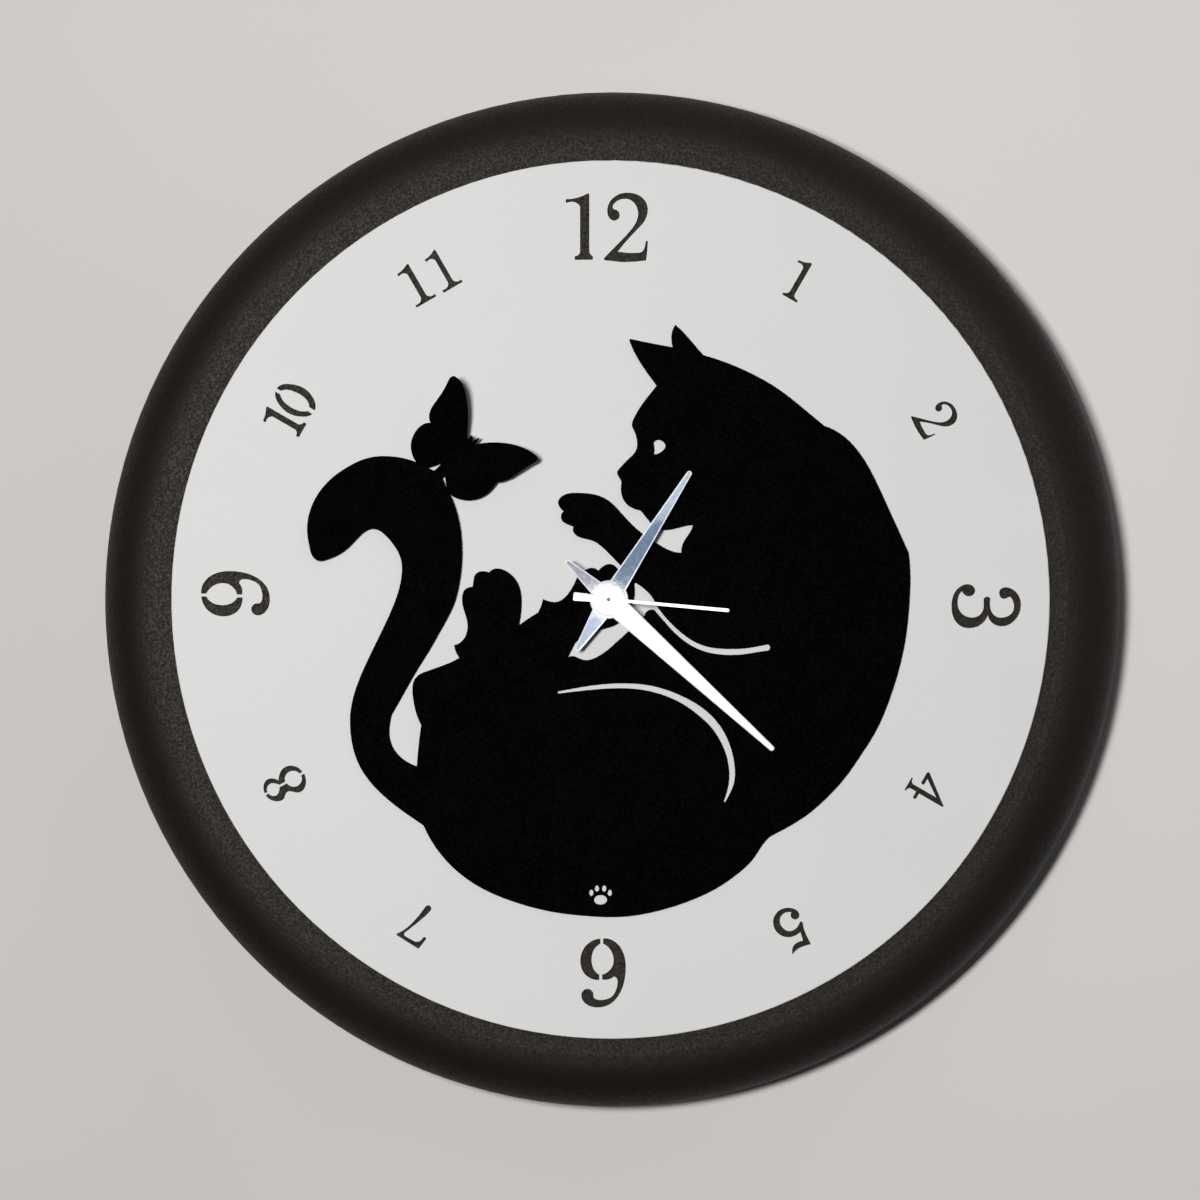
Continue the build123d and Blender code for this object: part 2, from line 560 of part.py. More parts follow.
def cat_tail():
    """The tail above the line where it starts to leave the dial."""
    return outline(
        [(-99.9, -38.5), (-97.0, -30.0), (-92.6, -20.4), (-87.4, -9.8), (-83.7, -1.4),
         (-81.4, 6.0), (-80.7, 11.6), (-81.3, 16.2), (-83.7, 20.9), (-87.0, 24.8), (-90.0, 27.0),
         (-92.4, 27.5), (-95.2, 26.5), (-98.6, 23.4), (-102.5, 19.5), (-106.5, 16.9),
         (-110.6, 15.3), (-113.3, 15.0), (-115.2, 16.3), (-116.9, 21.0), (-117.7, 27.0),
         (-117.1, 32.6), (-115.0, 38.4), (-111.6, 43.6), (-106.7, 48.4), (-101.0, 52.1),
         (-95.0, 54.8), (-89.0, 55.8), (-83.0, 55.5), (-77.8, 54.4), (-75.4, 53.5)],
        [(-72.6, 52.3), (-69.8, 50.9), (-67.2, 49.4), (-65.0, 47.0)],
        [(-63.3, 43.2), (-61.1, 38.8), (-59.3, 33.6), (-58.0, 27.5), (-57.4, 20.5),
         (-57.5, 13.5), (-58.4, 6.5), (-60.6, -2.0), (-65.2, -11.0), (-70.2, -19.9),
         (-75.2, -27.9), (-79.8, -36.0), (-84.9, -45.0)],
        [(-101.0, -45.0)],
    )


def butterfly():
    """The butterfly on the tail, with its neck side to the lower left."""
    return outline(
        # lower right wing
        [(-63.7, 46.2), (-63.5, 44.6), (-62.9, 42.5), (-61.9, 40.9), (-60.2, 39.7),
         (-58.0, 38.9), (-55.0, 38.5),
         (-51.8, 38.9), (-48.8, 40.2), (-46.3, 42.3), (-43.9, 45.5)],
        [(-41.2, 45.9), (-38.4, 47.1), (-34.5, 49.6), (-30.6, 52.1), (-28.3, 53.4)],
        [(-27.6, 54.6), (-28.6, 56.1), (-31.2, 57.9), (-35.2, 59.6), (-39.6, 60.6),
         (-44.2, 61.0), (-48.6, 60.8), (-52.2, 60.2)],
        # antennae
        [(-50.2, 62.5)],
        [(-50.7, 62.9)],
        [(-53.1, 61.3)],
        [(-52.9, 63.6)],
        [(-53.6, 63.7)],
        [(-55.1, 62.0)],
        # upper wings
        [(-54.9, 66.0), (-54.6, 70.6), (-54.8, 75.4), (-55.4, 79.6), (-56.6, 83.2),
         (-58.4, 85.6), (-59.9, 86.5)],
        [(-61.2, 86.0), (-62.4, 84.1), (-64.2, 80.8), (-66.9, 77.0), (-69.1, 73.7),
         (-69.8, 71.2), (-69.3, 68.6)],
        [(-71.4, 68.3), (-73.6, 67.0), (-75.8, 64.2), (-77.0, 60.8), (-76.9, 57.4), (-75.4, 53.8)],
        [(-72.9, 51.9), (-70.6, 51.3)],
        [(-67.8, 52.1), (-65.2, 53.3)],
        [(-67.0, 50.6)],
        [(-63.9, 48.1)],
    )


def tilted_sheet(origin, rise_x, rise_z):
    """A wide sheet through the origin (x, z, ahead) that comes forward by these rates."""
    x, z, ahead = origin
    normal = (-rise_x, -1, -rise_z)
    place = Plane(origin=(x, CAT_FRONT - ahead, z), z_dir=normal)
    return place * Pos(0, 0, -CAT_T / 2) * Box(400, 400, CAT_T)


def half_plane(point, angle, overlap):
    """The side to the left of a line through the point, and a little beyond the line."""
    size = 300.0
    return Pos(*point) * Rot(0, 0, angle) * Pos(0, size / 2 - overlap) * Rectangle(size, size)


def cat_plate():
    """The whole cat: flat body, bent tail and the folded butterfly that grows from the tail."""
    body = cat_body() - Circle(CENTRE_HOLE_R)
    for shape in cat_cutouts():
        body -= shape
    plate = slab(body, DIAL_FRONT, CAT_FRONT)

    top = 70.0
    rise = TAIL_LIFT * (top - TAIL_BEND_Z)
    side = Polyline(
        (DIAL_FRONT, -45), (DIAL_FRONT, TAIL_BEND_Z), (DIAL_FRONT - rise, top),
        (CAT_FRONT - rise, top), (CAT_FRONT, TAIL_BEND_Z), (CAT_FRONT, -45), close=True,
    )
    across = Plane(origin=(-200, 0, 0), x_dir=(0, 1, 0), z_dir=(1, 0, 0))
    bent = extrude(across * make_face(side), amount=200)
    plate += slab(cat_tail(), DIAL_FRONT + 1, CAT_FRONT - 5) & bent

    along = (cos(radians(BUTTERFLY_TURN)), sin(radians(BUTTERFLY_TURN)))
    away = (-along[1], along[0])
    x, z = BUTTERFLY_ROOT
    shape = butterfly()
    upper = shape & half_plane(BUTTERFLY_ROOT, BUTTERFLY_TURN, 0.3)
    lower = shape & half_plane(BUTTERFLY_ROOT, BUTTERFLY_TURN + 180, 0.3)
    for wing, extra in ((upper, UPPER_WING_RISE), (lower, 0.0)):
        rise_x = BUTTERFLY_RISE * along[0] + extra * away[0]
        rise_z = BUTTERFLY_RISE * along[1] + extra * away[1]
        sheet = tilted_sheet((x, z, BUTTERFLY_LIFT), rise_x, rise_z)
        plate += slab(wing, DIAL_FRONT + 2, CAT_FRONT - 20) & sheet
    neck = Polyline((-68.0, 50.2), (-65.0, 53.0), (-62.0, 50.4), (-64.2, 47.8), (-66.6, 46.4),
                    (-69.6, 48.6), close=True)
    return plate + slab(make_face(neck), CAT_FRONT - 0.5, CAT_FRONT - 1.4)


def studs(places, foot):
    """Threaded studs welded to the back of a plate."""
    return Compound(children=[ring(STUD_R, 0, foot + STUD_LENGTH, foot, x, z) for x, z in places])


def dial_studs():
    return studs(stud_places()[0], FACE)


def cat_studs():
    return studs(stud_places()[1], DIAL_FRONT)


def stud_washers():
    dial, cat = stud_places()
    back = FACE_BACK + WASHER_T
    return Compound(children=[ring(3.5, STUD_HOLE_R, back, FACE_BACK, x, z)
                              for x, z in [*dial, *cat]])


def stud_nuts():
    """M3 nuts, 5.5 mm across their flats."""
    dial, cat = stud_places()
    back = FACE_BACK + WASHER_T + 2.4
    shape = RegularPolygon(5.5 / 2, 6, major_radius=False) - Circle(STUD_R)
    return Compound(children=[slab(Pos(x, z) * shape, back, FACE_BACK + WASHER_T)
                              for x, z in [*dial, *cat]])


# ---------------------------------------------------------------- hanger
def rivet_hole(side):
    """A countersunk hole whose wide end is at the wall."""
    x, z = side * RIVET_X, RIVET_Z
    straight = ring(RIVET_R, 0, 1, -10, x, z)
    place = Plane(origin=(x, 0, z), x_dir=(1, 0, 0), z_dir=(0, -1, 0))
    return straight + place * Pos(0, 0, 0.45) * Cone(RIVET_HEAD_R, RIVET_R, 0.9)


def hanger_bracket():
    """A strap inside the rear rim with a keyhole that hangs on the wall's screw."""
    width, height = BRACKET_W, BRACKET_TOP - BRACKET_BOTTOM
    shape = Pos(0, (BRACKET_TOP + BRACKET_BOTTOM) / 2) * RectangleRounded(width, height, 4)
    slot = Pos(0, (KEY_Z + KEY_TOP) / 2) * Rectangle(2 * KEY_SLOT_R, KEY_TOP - KEY_Z)
    shape = shape - Pos(0, KEY_Z) * Circle(KEY_R) - slot - Pos(0, KEY_TOP) * Circle(KEY_SLOT_R)
    bracket = slab(shape, -SHELL_T, -SHELL_T - BRACKET_T)
    for side in (-1, 1):
        bracket -= ring(RIVET_R, 0, 1, -10, side * RIVET_X, RIVET_Z)
    return bracket


def bracket_rivets():
    """Two rivets, flush with the wall side of the rim and domed inside."""
    inner = -SHELL_T - BRACKET_T
    rivets = []
    for side in (-1, 1):
        x, z = side * RIVET_X, RIVET_Z
        place = Plane(origin=(x, 0, z), x_dir=(1, 0, 0), z_dir=(0, -1, 0))
        foot = place * Pos(0, 0, 0.45) * Cone(RIVET_HEAD_R, RIVET_R, 0.9)
        shank = ring(RIVET_R, 0, -0.8, inner, x, z)
        head = ring(RIVET_HEAD_R, 0, inner, inner - 1.0, x, z)
        rivets.append(foot + shank + head)
    return Compound(children=rivets)


# ---------------------------------------------------------------- gears
TOOTH_GAP = 0.07           # play between meshing teeth, taken from each tooth


def gear(teeth, module, phase, steps=2):
    """A spur gear's outline. phase is the angle of one tooth's middle, in degrees."""
    pitch_r = teeth * module / 2
    base_r = pitch_r * cos(radians(20))
    tip_r = pitch_r + 0.85 * module
    root_r = pitch_r - 1.2 * module
    half = pi / (2 * teeth) - TOOTH_GAP / (2 * pitch_r)
    involute_at_pitch = tan(radians(20)) - radians(20)

    def half_width(radius):
        if radius <= base_r:
            return half + involute_at_pitch
        lean = acos(base_r / radius)
        return half + involute_at_pitch - (tan(lean) - lean)

    start_r = max(base_r, root_r)
    radii = [start_r + (tip_r - start_r) * step / steps for step in range(steps + 1)]
    if root_r < start_r:
        radii.insert(0, root_r)
    points = []
    for tooth in range(teeth):
        middle = radians(phase) + 2 * pi * tooth / teeth
        for radius in radii:
            angle = middle - half_width(radius)
            points.append((radius * cos(angle), radius * sin(angle)))
        for radius in reversed(radii):
            angle = middle + half_width(radius)
            points.append((radius * cos(angle), radius * sin(angle)))
    return make_face(Polyline(*points, close=True))


def meshed(phase, teeth, here, other_teeth, there):
    """The phase of a gear at there that meshes with a gear at here."""
    line = degrees(atan2(there[1] - here[1], there[0] - here[0]))
    pitch = 360 / teeth
    ahead = (phase - line + pitch / 2) % pitch - pitch / 2
    return line + 180 - ahead * teeth / other_teeth + 180 / other_teeth


def beside(place, teeth, other_teeth, module, angle):
    """Where a gear stands that meshes with the one at this place, in this direction."""
    dx, dz = polar((teeth + other_teeth) * module / 2, angle)
    return place[0] + dx, place[1] + dz


CENTRE = (0.0, 0.0)
THIRD_AT = beside(CENTRE, SECOND_PINION, THIRD_TEETH, SECOND_MODULE, 30)
IDLER_AT = beside(CENTRE, SECOND_TEETH, IDLER_PINION, IDLER_MODULE, 150)
ROTOR_AT = beside(IDLER_AT, IDLER_TEETH, ROTOR_TEETH, ROTOR_MODULE, 100)
MINUTE_WHEEL_AT = beside(CENTRE, CANNON_TEETH, MINUTE_TEETH, MOTION_MODULE, 200)
SETTING_AT = beside(MINUTE_WHEEL_AT, MINUTE_TEETH, SETTING_TEETH, MOTION_MODULE, 200)

IDLER_PINION_PHASE = meshed(0, SECOND_TEETH, CENTRE, IDLER_PINION, IDLER_AT)
ROTOR_PHASE = meshed(0, IDLER_TEETH, IDLER_AT, ROTOR_TEETH, ROTOR_AT)
THIRD_PHASE = meshed(0, SECOND_PINION, CENTRE, THIRD_TEETH, THIRD_AT)
CENTRE_PHASE = meshed(0, THIRD_PINION, THIRD_AT, CENTRE_TEETH, CENTRE)
MINUTE_PHASE = meshed(0, CANNON_TEETH, CENTRE, MINUTE_TEETH, MINUTE_WHEEL_AT)
HOUR_PHASE = meshed(0, MINUTE_PINION, MINUTE_WHEEL_AT, HOUR_TEETH, CENTRE)
SETTING_PHASE = meshed(MINUTE_PHASE, MINUTE_TEETH, MINUTE_WHEEL_AT, SETTING_TEETH, SETTING_AT)


def wheel(shape, place, depth, thick=WHEEL_T):
    """A gear of this outline at a place, its front face this far behind the case's front."""
    return slab(Pos(*place) * shape, layer(depth + thick), layer(depth))


def shaft(place, radius, start, end):
    """A round shaft between two depths behind the case's front wall."""
    return ring(radius, 0, layer(end), layer(start), *place)


COVER_DEPTH = COVER_INNER - INSIDE        # depth of the cover's inner face


def hour_wheel():
    """The hour wheel and the pipe that carries the hour hand."""
    toothed = wheel(gear(HOUR_TEETH, HOUR_MODULE, HOUR_PHASE), CENTRE, HOUR_LAYER)
    pipe = ring(HOUR_PIPE_R, 0, layer(HOUR_LAYER + WHEEL_T), HOUR_PIPE_TIP)
    bore = ring(HOUR_PIPE_BORE_R, 0, layer(HOUR_LAYER + WHEEL_T) + 1, HOUR_PIPE_TIP - 1)
    return toothed + pipe - bore


def cannon_pinion():
    """The minute pipe with the pinion that drives the motion work."""
    toothed = wheel(gear(CANNON_TEETH, MOTION_MODULE, 0, 3), CENTRE, MINUTE_LAYER)
    back = layer(BRIDGE_LAYER - 0.3)
    pipe = ring(MINUTE_PIPE_R, 0, layer(MINUTE_LAYER), MINUTE_PIPE_TIP)
    drum = ring(1.3, 0, back, layer(MINUTE_LAYER))
    bore = ring(MINUTE_PIPE_BORE_R, 0, back + 1, MINUTE_PIPE_TIP - 1)
    return toothed + pipe + drum - bore


def centre_wheel():
    """The wheel that grips the minute pipe by friction."""
    toothed = wheel(gear(CENTRE_TEETH, THIRD_MODULE, CENTRE_PHASE), CENTRE, CENTRE_LAYER)
    return toothed - shaft(CENTRE, 1.33, CENTRE_LAYER - 1, CENTRE_LAYER + 2)


def minute_wheel():
    """The motion-work wheel between the cannon pinion and the hour wheel."""
    large = wheel(gear(MINUTE_TEETH, MOTION_MODULE, MINUTE_PHASE), MINUTE_WHEEL_AT, MINUTE_LAYER)
    reach = MINUTE_LAYER - HOUR_LAYER
    small = wheel(gear(MINUTE_PINION, HOUR_MODULE, 0, 3), MINUTE_WHEEL_AT, HOUR_LAYER, reach)
    return large + small - shaft(MINUTE_WHEEL_AT, 0.75, 0, 5)


def third_wheel():
    large = wheel(gear(THIRD_TEETH, SECOND_MODULE, THIRD_PHASE), THIRD_AT, THIRD_LAYER)
    small = wheel(gear(THIRD_PINION, THIRD_MODULE, 0, 3), THIRD_AT, CENTRE_LAYER - 0.2, 1.2)
    axle = shaft(THIRD_AT, PIVOT_R, 0.8, COVER_DEPTH + 0.7)
    return large + small + axle


def second_wheel():
    """The wheel and pinion that turn once a minute, pressed on the second arbor."""
    large = wheel(gear(SECOND_TEETH, IDLER_MODULE, 0), CENTRE, SECOND_LAYER)
    reach = SECOND_LAYER - THIRD_LAYER + 0.2
    small = wheel(gear(SECOND_PINION, SECOND_MODULE, 0, 3), CENTRE, THIRD_LAYER - 0.2, reach)
    return large + small - shaft(CENTRE, PIVOT_R, 0, COVER_DEPTH)


def second_arbor():
    """The thin arbor through the minute pipe, with the second hand's seat and a domed tip at its front."""
    front = ring(ARBOR_R, 0, layer(BRIDGE_LAYER), ARBOR_TIP)
    tip = front.edges().filter_by(GeomType.CIRCLE).sort_by(Axis.Y)[0]
    front = fillet(tip, ARBOR_DOME_R)
    rear = ring(PIVOT_R, 0, layer(COVER_DEPTH + 0.7), layer(BRIDGE_LAYER))
    return front + rear


def idler_wheel():
    """The intermediate wheel between the rotor and the second wheel."""
    large = wheel(gear(IDLER_TEETH, ROTOR_MODULE, 0), IDLER_AT, IDLER_LAYER)
    reach = IDLER_LAYER - SECOND_LAYER + 0.2
    small = wheel(gear(IDLER_PINION, IDLER_MODULE, IDLER_PINION_PHASE, 3), IDLER_AT,
                  SECOND_LAYER - 0.2, reach)
    axle = shaft(IDLER_AT, PIVOT_R, BRIDGE_LAYER + 0.2, COVER_DEPTH + 0.7)
    return large + small + axle


ROTOR_MAGNET_R = 2.9
STATOR_DEPTH = 6.6
STATOR_T = 0.8


def rotor_pinion():
    """The rotor's arbor and pinion."""
    small = wheel(gear(ROTOR_TEETH, ROTOR_MODULE, ROTOR_PHASE, 3), ROTOR_AT, IDLER_LAYER - 0.2, 1.2)
    axle = shaft(ROTOR_AT, PIVOT_R, BRIDGE_LAYER + 0.2, COVER_DEPTH + 0.7)
    return small + axle


def rotor_magnet():
    return ring(ROTOR_MAGNET_R, PIVOT_R, layer(STATOR_DEPTH + STATOR_T + 0.4),
                layer(STATOR_DEPTH - 0.2), *ROTOR_AT)


def setting_knob():
    """The knob at the back with its arbor and the pinion that turns the minute wheel."""
    pinion = wheel(gear(SETTING_TEETH, MOTION_MODULE, SETTING_PHASE, 3), SETTING_AT, MINUTE_LAYER)
    axle = shaft(SETTING_AT, 0.9, 0.8, COVER_DEPTH + CASE_T + 0.5)
    grip = Circle(4.5)
    for notch in range(24):
        grip -= Pos(*polar(4.6, 15 * notch)) * Circle(0.28)
    back = COVER_DEPTH + CASE_T + 3.0
    knob = slab(Pos(*SETTING_AT) * grip, layer(back), layer(back - 2.6))
    return pinion + axle + knob


# ---------------------------------------------------------------- movement case
BRIDGE_POSTS = [(-11.5, 9.0), (11.5, -5.0), (10.5, 13.0)]
STATOR_POSTS = [(-19.5, 22.0), (6.5, 22.0)]
BOARD_POSTS = [(23.5, -6.0), (23.5, 23.0)]
BOARD_DEPTH = 8.6
BOARD_T = 1.0


def post(place, height, pin_height):
    """A moulded post with a thinner pin on top."""
    return shaft(place, 1.3, -0.2, height) + shaft(place, 0.7, height - 0.2, pin_height)


def bearing(place, hole_r, height):
    """A boss on the front wall with a blind hole for a pivot."""
    return shaft(place, hole_r + 0.7, -0.2, height), shaft(place, hole_r, 0.5, height + 1)


def movement_case():
    """The front half of the movement, with the threaded neck and the battery bay."""
    half = CASE_W / 2
    inner = half - CASE_T
    body = slab(RectangleRounded(CASE_W, CASE_W, 3), CASE_BACK, CASE_FRONT)
    upper_h = inner - BAY_TOP - CASE_T
    upper_z = (inner + BAY_TOP + CASE_T) / 2
    body -= slab(Pos(0, upper_z) * RectangleRounded(2 * inner, upper_h, 1.5), CASE_BACK + 1, INSIDE)
    body -= block(-inner, inner, INSIDE, CASE_BACK + 1, BAY_FLOOR, BAY_TOP)
    # finger notch at the bottom edge of the battery bay
    body -= block(-9, 9, CASE_BACK - 6, CASE_BACK + 1, -half - 1, BAY_FLOOR + 1)
    # slots for the contacts' tabs through the bay's ceiling
    for x in (inner - 0.6, -inner):
        body -= block(x, x + 0.6, INSIDE + 5.9, INSIDE + 10.1, BAY_TOP - 1, BAY_TOP + CASE_T + 1)
    body += ring(NECK_R, 0, CASE_FRONT + 0.5, NECK_TIP)
    body -= ring(NECK_BORE_R, 0, INSIDE + 1, NECK_TIP - 1)
    for place in BRIDGE_POSTS:
        body += post(place, BRIDGE_LAYER, BRIDGE_LAYER + BRIDGE_T + 0.3)
    for place in STATOR_POSTS:
        body += post(place, STATOR_DEPTH, STATOR_DEPTH + STATOR_T + 1.3)
    for place in BOARD_POSTS:
        body += post(place, BOARD_DEPTH, BOARD_DEPTH + BOARD_T + 0.3)
    body += shaft(MINUTE_WHEEL_AT, 0.7, -0.2, MINUTE_LAYER + WHEEL_T + 0.4)
    for place, hole_r, height in ((THIRD_AT, PIVOT_HOLE_R, 2.6), (SETTING_AT, 0.97, 1.6)):
        boss, hole = bearing(place, hole_r, height)
        body += boss
        body -= hole
    return body


def movement_cover():
    """The back cover of the gear space, with the rear bearings."""
    half = CASE_W / 2 - CASE_T - COVER_GAP
    floor = BAY_TOP + CASE_T + COVER_GAP
    shape = Pos(0, (half + floor) / 2) * RectangleRounded(2 * half, half - floor, 1.3)
    cover = slab(shape, CASE_BACK, COVER_INNER)
    for place in (CENTRE, THIRD_AT, IDLER_AT, ROTOR_AT):
        cover -= ring(PIVOT_HOLE_R, 0, CASE_BACK - 0.3, COVER_INNER - 1, *place)
    return cover - ring(1.0, 0, CASE_BACK + 1, COVER_INNER - 1, *SETTING_AT)


def bearing_bridge():
    """The inner plate that carries the front pivots of the fast wheels."""
    shape = Pos(0, 4) * RectangleRounded(26.5, 22, 2)
    for place in BRIDGE_POSTS:
        shape -= Pos(*place) * Circle(0.7)
    for place in (IDLER_AT, ROTOR_AT):
        shape -= Pos(*place) * Circle(PIVOT_HOLE_R)
    shape -= Pos(*THIRD_AT) * Circle(PIVOT_R + 0.4)
    shape -= Circle(ARBOR_R + 0.3)
    return slab(shape, layer(BRIDGE_LAYER + BRIDGE_T), layer(BRIDGE_LAYER))


def stator():
    """The soft-iron stator round the rotor, with two legs up to the coil's core."""
    x, z = ROTOR_AT
    shape = Pos(x, z) * Circle(6.0)
    left = Polyline((x - 3, z + 4), (x - 6, z), (-22.0, 17.0), (-22.0, 24.0), (-17.0, 24.0),
                    (-17.0, 17.3), close=True)
    right = Polyline((x + 3, z + 4), (x + 5.6, z + 1.6), (9.0, 15.2), (9.0, 24.0), (4.0, 24.0),
                     (4.0, 17.3), close=True)
    shape = shape + make_face(left) + make_face(right) - Pos(x, z) * Circle(ROTOR_MAGNET_R + 0.5)
    for place in STATOR_POSTS:
        shape -= Pos(*place) * Circle(0.7)
    return slab(shape, layer(STATOR_DEPTH + STATOR_T), layer(STATOR_DEPTH))


COIL_Z = 22.0
COIL_LEFT, COIL_RIGHT = -15.8, 3.0
CORE_T = 1.0
CORE_H = 3.0
CORE_DEPTH = STATOR_DEPTH + STATOR_T      # depth of the core's front face
COIL_Y = layer(CORE_DEPTH + CORE_T / 2)
BOBBIN_R = 3.9
WINDING_R = 3.5
HUB_R = 2.0


def along_x(radius, x0, x1, y, z):
    """A cylinder along X."""
    place = Plane(origin=(x0, y, z), x_dir=(0, 1, 0), z_dir=(1, 0, 0))
    return extrude(place * Circle(radius), amount=x1 - x0)


def coil_core():
    """The iron strip through the coil, pinned on the stator's legs."""
    core = block(-22.0, 9.0, layer(CORE_DEPTH), layer(CORE_DEPTH + CORE_T),
                 COIL_Z - CORE_H / 2, COIL_Z + CORE_H / 2)
    for place in STATOR_POSTS:
        core -= shaft(place, 0.7, 0, 12)
    return core


def coil_bobbin():
    hub = along_x(HUB_R, COIL_LEFT, COIL_RIGHT, COIL_Y, COIL_Z)
    for x in (COIL_LEFT, COIL_RIGHT - 0.8):
        hub += along_x(BOBBIN_R, x, x + 0.8, COIL_Y, COIL_Z)
    return hub - block(-30, 20, layer(CORE_DEPTH), layer(CORE_DEPTH + CORE_T),
                       COIL_Z - CORE_H / 2, COIL_Z + CORE_H / 2)


def coil_winding():
    left, right = COIL_LEFT + 0.8, COIL_RIGHT - 0.8
    return along_x(WINDING_R, left, right, COIL_Y, COIL_Z) - along_x(HUB_R, left, right, COIL_Y,
                                                                    COIL_Z)


def circuit_board():
    shape = Pos(18.4, 8.5) * RectangleRounded(15.0, 35.0, 1)
    for place in BOARD_POSTS:
        shape -= Pos(*place) * Circle(0.7)
    return slab(shape, layer(BOARD_DEPTH + BOARD_T), layer(BOARD_DEPTH))


def quartz_crystal():
    """The 32 768 Hz crystal in its can, lying on the board, with its two leads."""
    x, z = 21.0, 12.0
    y = layer(BOARD_DEPTH + BOARD_T + 1.05)
    can = extrude(Plane(origin=(x, y, z - 3.0), z_dir=(0, 0, 1)) * Circle(1.0), amount=6.0)
    for side in (-0.4, 0.4):
        lead = Plane(origin=(x + side, y, z - 5.0), z_dir=(0, 0, 1)) * Circle(0.15)
        can += extrude(lead, amount=2.5)
    return can


def clock_chip():
    """The chip under its drop of black resin."""
    x, z = 16.0, 2.0
    back = layer(BOARD_DEPTH + BOARD_T)
    dome = Pos(x, back - 4.0, z) * Sphere(5.2)
    return dome & block(x - 5, x + 5, back, back + 3, z - 5, z + 5)


def contact(side):
    """A sprung contact: a leaf in the bay, a tab up through its ceiling and a foot inwards."""
    wall = CASE_W / 2 - CASE_T
    y0, y1 = INSIDE + 6.0, INSIDE + 10.0
    leaf = block(wall - 0.45, wall - 0.05, y0 - 2, y1 + 1, CELL_Z - 5.0, BAY_TOP - 0.05)
    bump = along_x(2.0, wall - 0.9, wall - 0.4, CELL_Y, CELL_Z)
    tab = block(wall - 0.45, wall - 0.05, y0, y1, BAY_TOP - 0.2, BAY_TOP + 3.3)
    shape = leaf + bump + tab
    if side > 0:
        return shape
    return mirror(shape, about=Plane.YZ)


def contact_positive():
    return contact(1)


def contact_negative():
    """The negative contact, with a bowed spring leaf in front of its plate."""
    wall = -CASE_W / 2 + CASE_T
    near, far = CELL_LEFT - 0.05, wall + 0.9
    low, high = CELL_Z - 4.5, CELL_Z + 4.5
    middle = (near + far) / 2
    front = Spline((far, low), (middle, low + 1.5), (near, CELL_Z), (middle, high - 1.5),
                   (far, high))
    back_x = 0.3
    rear = Spline((far, high - 0.5), (middle - back_x, high - 2.2), (near - back_x, CELL_Z),
                  (middle - back_x, low + 2.2), (far, low + 0.5))
    face = make_face([front, Line((far, high), (far, high - 0.5)), rear,
                      Line((far, low + 0.5), (far, low))])
    leaf = slab(face, CELL_Y + 2.0, CELL_Y - 2.0)
    stem = block(far - 0.6, far + 0.02, CELL_Y - 2.0, CELL_Y + 2.0, low, high)
    return contact(-1) + leaf + stem


# ---------------------------------------------------------------- battery
def battery_can():
    return along_x(CELL_R - SLEEVE_T, CELL_LEFT, CELL_RIGHT, CELL_Y, CELL_Z)


def battery_cap():
    return along_x(NUB_R, CELL_RIGHT, NUB_END, CELL_Y, CELL_Z)


def battery_sleeve():
    inset = 0.5
    tube = along_x(CELL_R, CELL_LEFT + inset, CELL_RIGHT - inset, CELL_Y, CELL_Z)
    return tube - battery_can()


# ---------------------------------------------------------------- fixing of the movement
def rubber_gasket():
    """The soft ring between the movement and the shell."""
    return ring(11.0, NECK_R + 0.1, CASE_FRONT, FACE_BACK)


def neck_washer():
    return ring(6.0, NECK_R + 0.05, CAT_FRONT, CAT_FRONT - WASHER_T)


def neck_nut():
    """The flat hexagon nut on the threaded neck, 11 mm across its flats."""
    shape = RegularPolygon(5.5, 6, major_radius=False) - Circle(NECK_R)
    return slab(shape, CAT_FRONT - WASHER_T, CAT_FRONT - WASHER_T - NUT_T)


# ---------------------------------------------------------------- hands
def hand_shape(reach, tail, root_w, tip_w, tail_root_w, tail_tip_w, hub_r):
    """A tapered hand that points up, with a round hub and a shorter tapered tail."""
    def taper(start_w, end_w, length, sign):
        end_r = end_w / 2
        stop = sign * (length - end_r)
        shape = make_face(Polyline((-start_w / 2, 0), (-end_r, stop), (end_r, stop),
                                   (start_w / 2, 0), close=True))
        return shape + Pos(0, stop) * Circle(end_r)

    return (taper(root_w, tip_w, reach, 1) + taper(tail_root_w, tail_tip_w, tail, -1)
            + Circle(hub_r))


def turned(shape, angle, back, thick):
    """A hand's shape turned clockwise from 12 by this angle."""
    return slab(Rot(0, 0, -angle) * shape, back, back - thick)


def bevelled(shape, angle, back, bore_r):
    """A turned hand with a bore, whose front edges are pressed down to a shallow bevel."""
    shoulder_t = HAND_T - HAND_BEVEL_DEPTH
    rim = front_view(back - shoulder_t) * Rot(0, 0, -angle) * shape
    hand = turned(shape, angle, back, shoulder_t)
    hand += extrude(rim, amount=HAND_BEVEL_DEPTH, taper=HAND_BEVEL_TAPER)
    return hand - ring(bore_r, 0, back + 1, back - HAND_T - 1)


def hour_hand():
    shape = hand_shape(HOUR_REACH, HOUR_TAIL, 7.6, 2.0, 8.4, 2.2, HOUR_HUB_R)
    return bevelled(shape, HOUR_ANGLE, HOUR_HAND_BACK, HOUR_PIPE_R)


def minute_hand():
    shape = hand_shape(MINUTE_REACH, MINUTE_TAIL, 8.6, 2.0, 7.4, 2.0, MINUTE_HUB_R)
    return bevelled(shape, MINUTE_ANGLE, MINUTE_HAND_BACK, MINUTE_PIPE_R)


